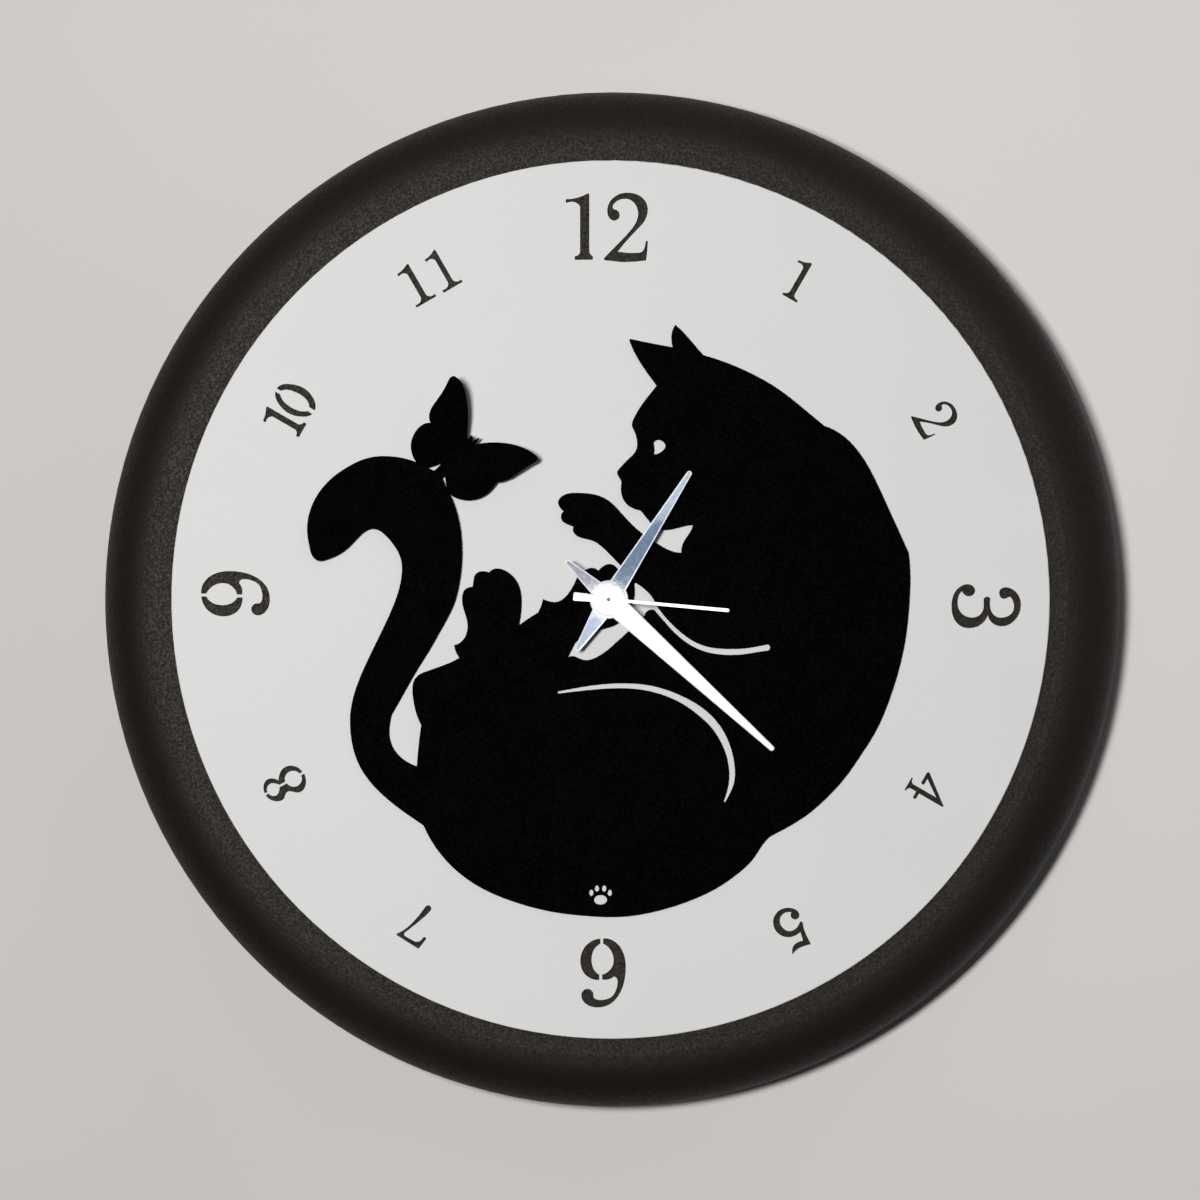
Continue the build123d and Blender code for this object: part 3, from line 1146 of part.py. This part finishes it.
def second_hand():
    """The needle, with its wider counterweight behind the hub."""
    needle = make_face(Polyline((-0.55, 0), (-0.65, SECOND_REACH - 0.6), (0.65, SECOND_REACH - 0.6),
                                (0.55, 0), close=True))
    needle += Pos(0, SECOND_REACH - 0.65) * Circle(0.65)
    weight = make_face(Polyline((-1.2, 0), (-1.65, -SECOND_TAIL), (1.65, -SECOND_TAIL), (1.2, 0),
                                close=True))
    weight = fillet(weight.vertices().group_by(Axis.Y)[0], 0.6)
    shape = needle + weight + Circle(SECOND_HUB_R) - Circle(1.3)
    return turned(shape, SECOND_ANGLE, SECOND_HAND_BACK, SECOND_HAND_T)


def hour_hand_collet():
    """The collet behind the hour hand that grips the hour pipe."""
    return ring(3.6, HOUR_PIPE_R, HOUR_HAND_BACK + 1.5, HOUR_HAND_BACK)


def minute_hand_collet():
    return ring(2.6, MINUTE_PIPE_R, MINUTE_HAND_BACK + 1.6, MINUTE_HAND_BACK)


def second_hand_tube():
    """The tube riveted in the second hand, pushed on the arbor."""
    back, front = SECOND_HAND_BACK + 1.3, SECOND_HAND_BACK - SECOND_HAND_T - 0.5
    return ring(1.3, ARBOR_R, back, front)


# ---------------------------------------------------------------- write every piece
PIECES = (
    frame_shell, dial_plate, cat_plate, dial_studs, cat_studs, stud_washers, stud_nuts,
    hanger_bracket, bracket_rivets,
    movement_case, movement_cover, bearing_bridge, stator, coil_core, coil_bobbin, coil_winding,
    circuit_board, quartz_crystal, clock_chip, contact_positive, contact_negative,
    battery_can, battery_cap, battery_sleeve,
    rubber_gasket, neck_washer, neck_nut,
    hour_wheel, cannon_pinion, centre_wheel, minute_wheel, third_wheel, second_wheel,
    second_arbor, idler_wheel, rotor_pinion, rotor_magnet, setting_knob,
    hour_hand, hour_hand_collet, minute_hand, minute_hand_collet, second_hand, second_hand_tube,
)

os.makedirs("parts", exist_ok=True)
for piece in PIECES:
    export_step(piece(), f"parts/{piece.__name__}.step")
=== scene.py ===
import json
import math

import bpy
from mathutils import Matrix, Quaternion, Vector


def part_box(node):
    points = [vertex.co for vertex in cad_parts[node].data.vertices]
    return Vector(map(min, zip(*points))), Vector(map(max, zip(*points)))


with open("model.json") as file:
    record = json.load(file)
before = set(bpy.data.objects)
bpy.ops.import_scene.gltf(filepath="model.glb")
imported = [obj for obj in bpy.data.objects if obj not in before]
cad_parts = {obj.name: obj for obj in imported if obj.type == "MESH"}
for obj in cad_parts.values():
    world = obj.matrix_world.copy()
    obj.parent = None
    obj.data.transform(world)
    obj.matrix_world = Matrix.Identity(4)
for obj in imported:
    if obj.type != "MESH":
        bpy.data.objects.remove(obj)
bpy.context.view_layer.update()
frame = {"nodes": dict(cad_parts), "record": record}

# The wall clock's looks: materials on the CAD nodes, softened edges, the wall, the lights and the
# camera. Metres, in the frame of the CAD: the face looks along -Y and the wall is at y = 0.

MM = 0.001
MOST = (0.3, 0.7)                           # the span that most values of a noise fall in
FACE = (0.0, -0.034, 0.0)                   # the middle of the shell's flat face
WALL_GAP = 0.3 * MM                         # between the clock's back and the wall
WALL_HALF = 1.5
WALL_PAINTED_LIGHT_SPAN = 0.25                           # painted light: the wall's colour grows lighter to the right and upwards within this of the axis
WALL_FADE = (0.38, 1.0)                     # distances from the axis between which it fades
EDGE_ANGLE = math.radians(35)               # edges sharper than this are softened
WELD_DISTANCE = 1e-6
REFLECTOR_Y = -2.2                          # behind the camera
REFLECTOR_HALF = (0.8, 0.6)
BRIGHT = (2.0, 2.0, 2.0)
REFLECTOR_WINDOWS = (                       # spans of x and z on the board, and their light
    ((-0.10, 0.13), (-0.17, 0.005), BRIGHT),
    ((-0.12, -0.054), (-0.075, -0.011), (0.56, 0.66, 0.82)),
    ((-0.12, -0.055), (0.007, 0.020), (0.34, 0.33, 0.37)),
    ((-0.14, -0.055), (0.020, 0.050), (0.45, 0.43, 0.50)),
    ((-0.054, 0.03), (0.008, 0.073), (0.18, 0.26, 0.37)),
    ((-0.03, 0.06), (0.073, 0.14), (0.55, 0.65, 0.74)))
HUB_SPOT = (-0.0519, REFLECTOR_Y, 0.0003)   # what the flat discs at the hands' axis mirror
HUB_SPOT_R = 0.0142
CEILING = ((0.5, -0.9, 1.7), (2.4, 1.4))    # place and size of the soft lights above
RIGHT = ((1.8, -0.9, 0.3), (1.2, 1.6))      # and to the right
CAMERA_AZIMUTH = math.radians(1.5)          # from the clock's right, level with it
CAMERA_TARGET = (-4.26 * MM, -12.0 * MM, -0.2 * MM)
CAMERA_DISTANCE = 1.68
CAMERA_LENS = 127.7

scene = bpy.context.scene
nodes = frame["nodes"]


# ---------------------------------------------------------------- shader helpers
class Shader:
    """A Principled material and short calls that add procedural nodes to it."""

    def __init__(self, name, colour, roughness, metallic=0.0, specular=0.5):
        self.material = bpy.data.materials.new(name)
        self.material.use_nodes = True
        self.tree = self.material.node_tree
        self.surface = self.tree.nodes["Principled BSDF"]
        self.set("Base Color", (*colour, 1.0))
        self.set("Roughness", roughness)
        self.set("Metallic", metallic)
        self.set("Specular IOR Level", specular)
        self.place = self.add("ShaderNodeTexCoord").outputs["Object"]
        self.height = None

    def set(self, socket, value):
        self.surface.inputs[socket].default_value = value

    def add(self, kind, **values):
        node = self.tree.nodes.new(kind)
        for key, value in values.items():
            setattr(node, key, value)
        return node

    def link(self, output, socket):
        self.tree.links.new(output, socket)

    def stretched(self, stretch):
        """Object coordinates, scaled along each axis."""
        mapping = self.add("ShaderNodeMapping")
        mapping.inputs["Scale"].default_value = stretch
        self.link(self.place, mapping.inputs["Vector"])
        return mapping.outputs["Vector"]

    def noise(self, grain_mm, detail=2.0, stretch=None, rough=0.5):
        """Noise whose features are about this many millimetres across."""
        node = self.add("ShaderNodeTexNoise")
        node.inputs["Scale"].default_value = 1.0 / (grain_mm * MM)
        node.inputs["Detail"].default_value = detail
        node.inputs["Roughness"].default_value = rough
        self.link(self.stretched(stretch) if stretch else self.place, node.inputs["Vector"])
        return node.outputs["Fac"]

    def remap(self, value, low, high, to_low=0.0, to_high=1.0):
        """The value with the span low to high carried over to another, and clamped there."""
        node = self.add("ShaderNodeMapRange")
        for name, number in (("From Min", low), ("From Max", high), ("To Min", to_low),
                             ("To Max", to_high)):
            node.inputs[name].default_value = number
        self.link(value, node.inputs["Value"])
        return node.outputs["Result"]

    def combine(self, a, b, operation="ADD", amount=None):
        """Maths on two values; amount replaces b by a number."""
        node = self.add("ShaderNodeMath", operation=operation)
        self.link(a, node.inputs[0])
        if amount is None:
            self.link(b, node.inputs[1])
        else:
            node.inputs[1].default_value = amount
        return node.outputs["Value"]

    def blend(self, factor, first, second):
        """A colour between two, each a triple or an earlier colour."""
        node = self.add("ShaderNodeMix", data_type="RGBA")
        self.link(factor, node.inputs["Factor"])
        for name, colour in (("A", first), ("B", second)):
            socket = next(s for s in node.inputs if s.name == name and s.type == "RGBA")
            if isinstance(colour, tuple):
                socket.default_value = (*colour, 1.0)
            else:
                self.link(colour, socket)
        return next(s for s in node.outputs if s.type == "RGBA")

    def colour(self, output):
        self.link(output, self.surface.inputs["Base Color"])

    def roughness(self, output):
        self.link(output, self.surface.inputs["Roughness"])

    def bump(self, height, depth_mm, strength=1.0):
        """Adds a relief of this depth on top of the reliefs before it."""
        node = self.add("ShaderNodeBump")
        node.inputs["Strength"].default_value = strength
        node.inputs["Distance"].default_value = depth_mm * MM
        self.link(height, node.inputs["Height"])
        if self.height is not None:
            self.link(self.height, node.inputs["Normal"])
        self.height = node.outputs["Normal"]
        self.link(self.height, self.surface.inputs["Normal"])

    def axes(self):
        """A node with the object coordinates' X, Y and Z."""
        split = self.add("ShaderNodeSeparateXYZ")
        self.link(self.place, split.inputs["Vector"])
        return split

    def show(self, output):
        """Puts another shader in the place of the Principled one."""
        self.link(output, self.tree.nodes["Material Output"].inputs["Surface"])

    def edges(self, radius_mm):
        """1 on sharp edges and 0 away from them."""
        bevel = self.add("ShaderNodeBevel", samples=4)
        bevel.inputs["Radius"].default_value = radius_mm * MM
        flat = self.add("ShaderNodeNewGeometry")
        dot = self.add("ShaderNodeVectorMath", operation="DOT_PRODUCT")
        self.link(bevel.outputs["Normal"], dot.inputs[0])
        self.link(flat.outputs["Normal"], dot.inputs[1])
        return self.remap(dot.outputs["Value"], 1.0, 0.75)


# ---------------------------------------------------------------- materials
def powder_coat():
    """Very dark brown, finely textured powder coat."""
    s = Shader("powder_coat_brown", (0.005, 0.003, 0.002), 0.60, specular=0.205)
    s.set("Specular Tint", (1.0, 0.93, 0.90, 1.0))
    grain = s.noise(0.9, 3.0)
    grain_span = (0.38, 0.64)
    cloud = s.noise(30.0, 3.0)
    tone = s.combine(s.remap(grain, *grain_span, 0.0, 0.85), s.remap(cloud, *MOST, 0.0, 0.15))
    s.colour(s.blend(tone, (0.0003, 0.0001, 0.0000), (0.0088, 0.0046, 0.0030)))
    s.roughness(s.remap(grain, *grain_span, 0.70, 0.51))
    s.bump(s.noise(1.5, 3.0), 0.14, 0.8)
    s.bump(grain, 0.08, 0.8)
    return s


def pearl_enamel():
    """Pale greenish-grey satin enamel with a faint pearl fleck."""
    s = Shader("enamel_pearl", (0.62, 0.62, 0.61), 0.5, specular=0.13)
    fleck = s.noise(0.35, 1.0)
    cloud = s.noise(55.0, 2.0)
    tone = s.combine(s.remap(fleck, *MOST, 0.0, 0.5), s.remap(cloud, *MOST, 0.0, 0.5))
    s.colour(s.blend(tone, (0.598, 0.598, 0.590), (0.635, 0.631, 0.622)))
    s.roughness(s.remap(cloud, *MOST, 0.46, 0.54))
    s.bump(s.noise(1.6, 2.0), 0.008, 0.6)
    return s


def black_enamel():
    """Dead black enamel with a very fine speckle."""
    s = Shader("enamel_black", (0.0008, 0.0008, 0.0008), 0.6, specular=0.005)
    grain = s.noise(0.8, 2.0)
    s.colour(s.blend(s.remap(grain, 0.45, 0.7), (0.0001, 0.0001, 0.0001), (0.0022, 0.0022, 0.0023)))
    s.roughness(s.remap(s.noise(8.0, 3.0), *MOST, 0.5, 0.66))
    s.bump(grain, 0.02, 0.6)
    return s


def polished_aluminium():
    """Bright stamped hands with faint polishing lines."""
    s = Shader("polished_aluminium", (0.93, 0.94, 0.95), 0.04, metallic=1.0)
    lines = s.noise(0.25, 2.0, stretch=(0.15, 1.0, 1.0))
    cloud = s.noise(5.0, 3.0)
    smudge = s.noise(1.7, 4.0, rough=0.65)
    s.roughness(s.remap(s.combine(lines, cloud), 0.7, 1.3, 0.02, 0.045))
    s.colour(s.blend(s.remap(smudge, 0.36, 0.66), (0.74, 0.76, 0.79), (0.97, 0.975, 0.98)))
    s.bump(cloud, 0.005, 0.6)
    s.bump(smudge, 0.0008, 0.6)
    return s


def turned_metal(name, dark, light, roughness, grain=0.3):
    """Turned or drawn metal: fine lines round the parts, dull patches and brighter edges."""
    s = Shader(name, light, roughness, metallic=1.0)
    fine = s.noise(grain, 3.0, stretch=(1.0, 6.0, 1.0))
    cloud = s.noise(4.0, 4.0)
    tone = s.combine(s.remap(fine, *MOST, 0.0, 0.4), s.remap(cloud, *MOST, 0.0, 0.6))
    patches = s.blend(tone, dark, light)
    bright = tuple(min(1.0, 1.12 * c) for c in light)
    s.colour(s.blend(s.edges(0.15), patches, bright))
    s.roughness(s.remap(cloud, *MOST, roughness - 0.07, roughness + 0.1))
    s.bump(fine, 0.006, 0.5)
    return s


def stamped_iron():
    """Annealed transformer sheet, grey-brown with rolling marks."""
    s = Shader("soft_iron", (0.33, 0.32, 0.31), 0.45, metallic=1.0)
    roll = s.noise(0.8, 4.0, stretch=(0.08, 1.0, 1.0))
    cloud = s.noise(3.0, 3.0)
    s.colour(s.blend(s.combine(roll, cloud, "MULTIPLY"), (0.22, 0.20, 0.19), (0.42, 0.41, 0.41)))
    s.roughness(s.remap(roll, *MOST, 0.36, 0.56))
    s.bump(roll, 0.01, 0.5)
    return s


def moulded(name, dark, light, roughness, texture_mm=0.6, depth=0.02, specular=0.5):
    """Moulded plastic: spark-eroded texture, faint flow marks and polished edges."""
    s = Shader(name, light, roughness, specular=specular)
    spark = s.noise(texture_mm, 3.0)
    flow = s.noise(14.0, 4.0, stretch=(1.0, 1.0, 0.3))
    body = s.blend(s.remap(flow, *MOST), dark, light)
    worn = tuple(min(1.0, 1.25 * c + 0.01) for c in light)
    s.colour(s.blend(s.edges(0.2), body, worn))
    s.roughness(s.remap(s.combine(spark, flow), 0.6, 1.4, roughness - 0.08, roughness + 0.08))
    s.bump(spark, depth, 0.6)
    return s


def rubber():
    """Matt black rubber."""
    s = Shader("rubber", (0.02, 0.02, 0.02), 0.8, specular=0.3)
    grain = s.noise(0.4, 3.0)
    s.colour(s.blend(grain, (0.012, 0.012, 0.012), (0.035, 0.034, 0.033)))
    s.roughness(s.remap(grain, *MOST, 0.72, 0.9))
    s.bump(grain, 0.02, 0.6)
    return s


def copper_winding():
    """Fine enamelled wire wound round the bobbin's X axis."""
    s = Shader("copper_wire", (0.55, 0.2, 0.08), 0.3, metallic=1.0)
    wave = s.add("ShaderNodeTexWave", wave_type="BANDS", bands_direction="X", wave_profile="SIN")
    wave.inputs["Scale"].default_value = 900.0      # turns 0.35 mm apart
    wave.inputs["Distortion"].default_value = 0.6
    s.link(s.place, wave.inputs["Vector"])
    # painted shade: the colour is darker in the grooves between the turns and lighter on their
    # crests; the noise adds a random tone
    tone = s.combine(wave.outputs["Fac"], s.noise(2.0, 3.0), "MULTIPLY")
    s.colour(s.blend(tone, (0.30, 0.09, 0.035), (0.75, 0.32, 0.15)))
    s.roughness(s.remap(tone, 0.0, 0.7, 0.24, 0.4))
    s.bump(wave.outputs["Fac"], 0.04, 0.8)
    return s


def laminate():
    """Brown-green circuit board with the weave of its glass cloth."""
    s = Shader("board", (0.12, 0.14, 0.05), 0.45)
    weave = s.add("ShaderNodeTexBrick")
    weave.inputs["Scale"].default_value = 900.0     # cells of 0.56 x 0.28 mm
    weave.inputs["Mortar Size"].default_value = 0.05
    s.link(s.place, weave.inputs["Vector"])
    cloud = s.noise(5.0, 3.0)
    s.colour(s.blend(cloud, (0.07, 0.10, 0.03), (0.17, 0.18, 0.07)))
    s.roughness(s.remap(cloud, *MOST, 0.35, 0.5))
    s.bump(weave.outputs["Fac"], 0.01, 0.5)
    return s


def resin():
    """The drop of black resin over the chip."""
    s = Shader("resin", (0.006, 0.006, 0.006), 0.2)
    grain = s.noise(1.5, 2.0)
    s.colour(s.blend(grain, (0.004, 0.004, 0.004), (0.012, 0.011, 0.011)))
    s.roughness(s.remap(grain, *MOST, 0.12, 0.28))
    s.bump(grain, 0.05, 0.5)
    return s


def magnet():
    """Sintered magnet, dark grey and grainy."""
    s = Shader("magnet", (0.06, 0.06, 0.065), 0.5, metallic=0.6)
    grain = s.noise(0.25, 4.0)
    s.colour(s.blend(grain, (0.03, 0.03, 0.033), (0.10, 0.10, 0.105)))
    s.roughness(s.remap(grain, *MOST, 0.4, 0.62))
    s.bump(grain, 0.01, 0.6)
    return s


def cell_sleeve():
    """The printed film round the cell: a dark body, a pale line and a copper-coloured band at
    its + end."""
    _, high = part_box("battery_sleeve")
    s = Shader("cell_sleeve", (0.02, 0.05, 0.04), 0.25)
    split = s.axes()
    along = split.outputs["X"]
    band_start = high.x - 12.0 * MM
    line_start = band_start - 1.2 * MM
    blur = 0.1 * MM
    band = s.remap(along, band_start, band_start + blur)
    line = s.remap(along, line_start, line_start + blur)
    scuff = s.noise(3.0, 5.0)
    body = s.blend(scuff, (0.010, 0.028, 0.022), (0.020, 0.045, 0.036))
    with_line = s.blend(line, body, (0.75, 0.74, 0.70))
    s.colour(s.blend(band, with_line, (0.62, 0.30, 0.12)))
    s.roughness(s.remap(scuff, *MOST, 0.2, 0.36))
    s.bump(s.noise(9.0, 2.0), 0.03, 0.4)
    return s


MATERIALS = {
    "powder_coat_brown": powder_coat(),
    "enamel_pearl": pearl_enamel(),
    "enamel_black": black_enamel(),
    "polished_aluminium": polished_aluminium(),
    "brass": turned_metal("brass", (0.58, 0.43, 0.20), (0.80, 0.62, 0.32), 0.24),
    "zinc_steel": turned_metal("zinc_steel", (0.42, 0.43, 0.44), (0.62, 0.63, 0.64), 0.34, 0.6),
    "steel": turned_metal("steel", (0.40, 0.40, 0.41), (0.62, 0.62, 0.63), 0.26),
    "soft_iron": stamped_iron(),
    "black_plastic": moulded("black_plastic", (0.010, 0.010, 0.011), (0.020, 0.020, 0.021), 0.5),
    "white_plastic": moulded("white_plastic", (0.70, 0.69, 0.64), (0.80, 0.79, 0.75), 0.38, 0.3,
                             0.006),
    "rubber": rubber(),
    "copper_wire": copper_winding(),
    "magnet": magnet(),
    "board": laminate(),
    "resin": resin(),
    "nickel": turned_metal("nickel", (0.55, 0.53, 0.50), (0.74, 0.72, 0.69), 0.2, 0.4),
    "cell_sleeve": cell_sleeve(),
}

SLOT_OF = {row["node"]: row["material_slot"] for row in frame["record"]["subparts"]}
OWN_FINISH = {
    "second_arbor": turned_metal("dull_steel", (0.10, 0.10, 0.10), (0.18, 0.18, 0.18), 0.55),
}
for name, piece in nodes.items():
    finish = OWN_FINISH.get(name, MATERIALS[SLOT_OF[name]]).material
    piece.data.materials.clear()
    piece.data.materials.append(finish)


# ---------------------------------------------------------------- softened edges
SOFTENED = {"second_hand": 0.1, "neck_nut": 0.2, "neck_washer": 0.12, "hanger_bracket": 0.2}  # mm


def soften(name, width_mm):
    """Rounds a stamped or turned piece's sharp edges a little, so that they catch the light."""
    piece = nodes[name]
    weld = piece.modifiers.new("weld", "WELD")
    weld.merge_threshold = WELD_DISTANCE
    bevel = piece.modifiers.new("edges", "BEVEL")
    bevel.width = width_mm * MM
    bevel.segments = 2
    bevel.limit_method = "ANGLE"
    bevel.angle_limit = EDGE_ANGLE
    bevel.harden_normals = True


for name, width in SOFTENED.items():
    soften(name, width)


# ---------------------------------------------------------------- wall, lights and camera
def upright(name, half_width, half_height, y=0.0):
    """An upright rectangle centred on the clock's axis; its front side looks along -Y."""
    mesh = bpy.data.meshes.new(name)
    corners = [(-half_width, y, -half_height), (half_width, y, -half_height),
               (half_width, y, half_height), (-half_width, y, half_height)]
    mesh.from_pydata(corners, [], [(0, 1, 2, 3)])
    plane = bpy.data.objects.new(name, mesh)
    scene.collection.objects.link(plane)
    return plane


def wall():
    """The pale wall behind the clock. It can't be seen from behind, and it fades into the room
    away from the clock, so that it shows no edge in the views from the side."""
    plane = upright("wall", WALL_HALF, WALL_HALF)
    plane.location.y = WALL_GAP
    s = Shader("wall_paint", (0.62, 0.60, 0.585), 0.9, specular=0.1)
    split = s.axes()
    # painted light: the wall's colour grows lighter to the right and towards the top, standing in
    # for light falling unevenly on it; the noise adds a random tone
    painted_light_across = s.remap(split.outputs["X"], -WALL_PAINTED_LIGHT_SPAN, WALL_PAINTED_LIGHT_SPAN, -0.5, 0.5)
    painted_light_up = s.remap(split.outputs["Z"], -WALL_PAINTED_LIGHT_SPAN, WALL_PAINTED_LIGHT_SPAN, 0.33, 0.67)
    tone = s.combine(s.combine(painted_light_across, painted_light_up), s.remap(s.noise(180.0, 2.0), *MOST, -0.05, 0.05))
    s.colour(s.blend(tone, (0.547, 0.527, 0.514), (0.652, 0.629, 0.613)))
    side = s.add("ShaderNodeNewGeometry")
    clear = s.add("ShaderNodeBsdfTransparent")
    mix = s.add("ShaderNodeMixShader")
    away = s.add("ShaderNodeVectorMath", operation="LENGTH")
    s.link(s.place, away.inputs[0])
    fade = s.remap(away.outputs["Value"], *WALL_FADE)
    s.link(s.combine(side.outputs["Backfacing"], fade, "MAXIMUM"), mix.inputs["Fac"])
    s.link(s.surface.outputs["BSDF"], mix.inputs[1])
    s.link(clear.outputs["BSDF"], mix.inputs[2])
    s.show(mix.outputs["Shader"])
    plane.data.materials.append(s.material)
    plane.visible_shadow = False


def area_light(name, place, size, radiance, roll=0.0, gloss_only=False):
    """A rectangular light that faces the clock; size is (width, height)."""
    data = bpy.data.lights.new(name, "AREA")
    data.shape = "RECTANGLE"
    data.size, data.size_y = size
    data.energy = radiance * math.pi * size[0] * size[1]
    light = bpy.data.objects.new(name, data)
    light.location = place
    facing = (Vector(FACE) - Vector(place)).to_track_quat("-Z", "Y")
    light.rotation_euler = (facing @ Quaternion((0, 0, 1), roll)).to_euler()
    light.visible_diffuse = not gloss_only
    scene.collection.objects.link(light)


def window(s, split, x, z, soft=0.003):
    """1 inside these spans of the board's x and z, with soft borders."""
    inside = None
    for axis, (low, high) in (("X", x), ("Z", z)):
        rise = s.remap(split.outputs[axis], low - soft, low + soft)
        fall = s.remap(split.outputs[axis], high - soft, high + soft, 1.0, 0.0)
        both = s.combine(rise, fall, "MULTIPLY")
        inside = both if inside is None else s.combine(inside, both, "MULTIPLY")
    return inside


def spot(s, place, radius, soft=0.001):
    """1 within this radius of a place on the board, with a soft border."""
    away = s.add("ShaderNodeVectorMath", operation="DISTANCE")
    s.link(s.place, away.inputs[0])
    away.inputs[1].default_value = place
    return s.remap(away.outputs["Value"], radius - soft, radius + soft, 1.0, 0.0)


def reflector():
    """The soft board behind the camera that the polished hands mirror: brightest low down, with
    a duller strip above it. Nothing but mirror reflections sees it."""
    board = upright("reflector", *REFLECTOR_HALF, REFLECTOR_Y)
    s = Shader("reflector_light", (0, 0, 0), 1.0, specular=0.0)
    split = s.axes()
    light = (0.90, 0.92, 0.95)
    for x, z, colour in REFLECTOR_WINDOWS:
        light = s.blend(window(s, split, x, z), light, colour)
    light = s.blend(spot(s, HUB_SPOT, HUB_SPOT_R), light, BRIGHT)
    glow = s.add("ShaderNodeEmission")
    s.link(light, glow.inputs["Color"])
    s.show(glow.outputs["Emission"])
    s.material.cycles.emission_sampling = "NONE"
    board.data.materials.append(s.material)
    for ray in ("camera", "diffuse", "shadow", "transmission"):
        setattr(board, "visible_" + ray, False)


def studio(light, mirrored, seen):
    """The even room round the scene: what lights it, what shiny parts mirror and what shows
    behind the object where the wall doesn't."""
    world = bpy.data.worlds.new("studio")
    world.use_nodes = True
    tree = world.node_tree
    path = tree.nodes.new("ShaderNodeLightPath")
    shader = tree.nodes["Background"]
    shader.inputs["Color"].default_value = (0.97, 0.98, 1.0, 1.0)
    shader.inputs["Strength"].default_value = light
    result = shader.outputs["Background"]
    for ray, strength in (("Is Glossy Ray", mirrored), ("Is Camera Ray", seen)):
        other = tree.nodes.new("ShaderNodeBackground")
        other.inputs["Color"].default_value = (1.0, 0.985, 0.97, 1.0)
        other.inputs["Strength"].default_value = strength
        choose = tree.nodes.new("ShaderNodeMixShader")
        tree.links.new(path.outputs[ray], choose.inputs["Fac"])
        tree.links.new(result, choose.inputs[1])
        tree.links.new(other.outputs["Background"], choose.inputs[2])
        result = choose.outputs["Shader"]
    tree.links.new(result, tree.nodes["World Output"].inputs["Surface"])
    scene.world = world


def photo_camera():
    """The camera at the photograph's angle and framing."""
    data = bpy.data.cameras.new("camera")
    data.sensor_width = 36.0
    data.lens = CAMERA_LENS
    data.clip_start, data.clip_end = 0.05, 50.0
    camera = bpy.data.objects.new("camera", data)
    back = Vector((math.sin(CAMERA_AZIMUTH), -math.cos(CAMERA_AZIMUTH), 0.0))
    camera.location = Vector(CAMERA_TARGET) + back * CAMERA_DISTANCE
    camera.rotation_euler = (-back).to_track_quat("-Z", "Y").to_euler()
    scene.collection.objects.link(camera)
    scene.camera = camera


wall()
reflector()
area_light("key", (-0.43, -2.0, 0.16), (0.50, 0.24), 110.0, roll=math.radians(45))
area_light("ceiling", *CEILING, 0.5)
area_light("right_fill", *RIGHT, 0.35)
area_light("ceiling_sheen", *CEILING, 1.5, gloss_only=True)
area_light("right_sheen", *RIGHT, 1.3, gloss_only=True)
area_light("behind", (0.35, 2.2, 0.30), (0.5, 0.5), 40.0)
studio(light=0.015, mirrored=0.14, seen=0.62)
scene.view_settings.view_transform = "Standard"
photo_camera()
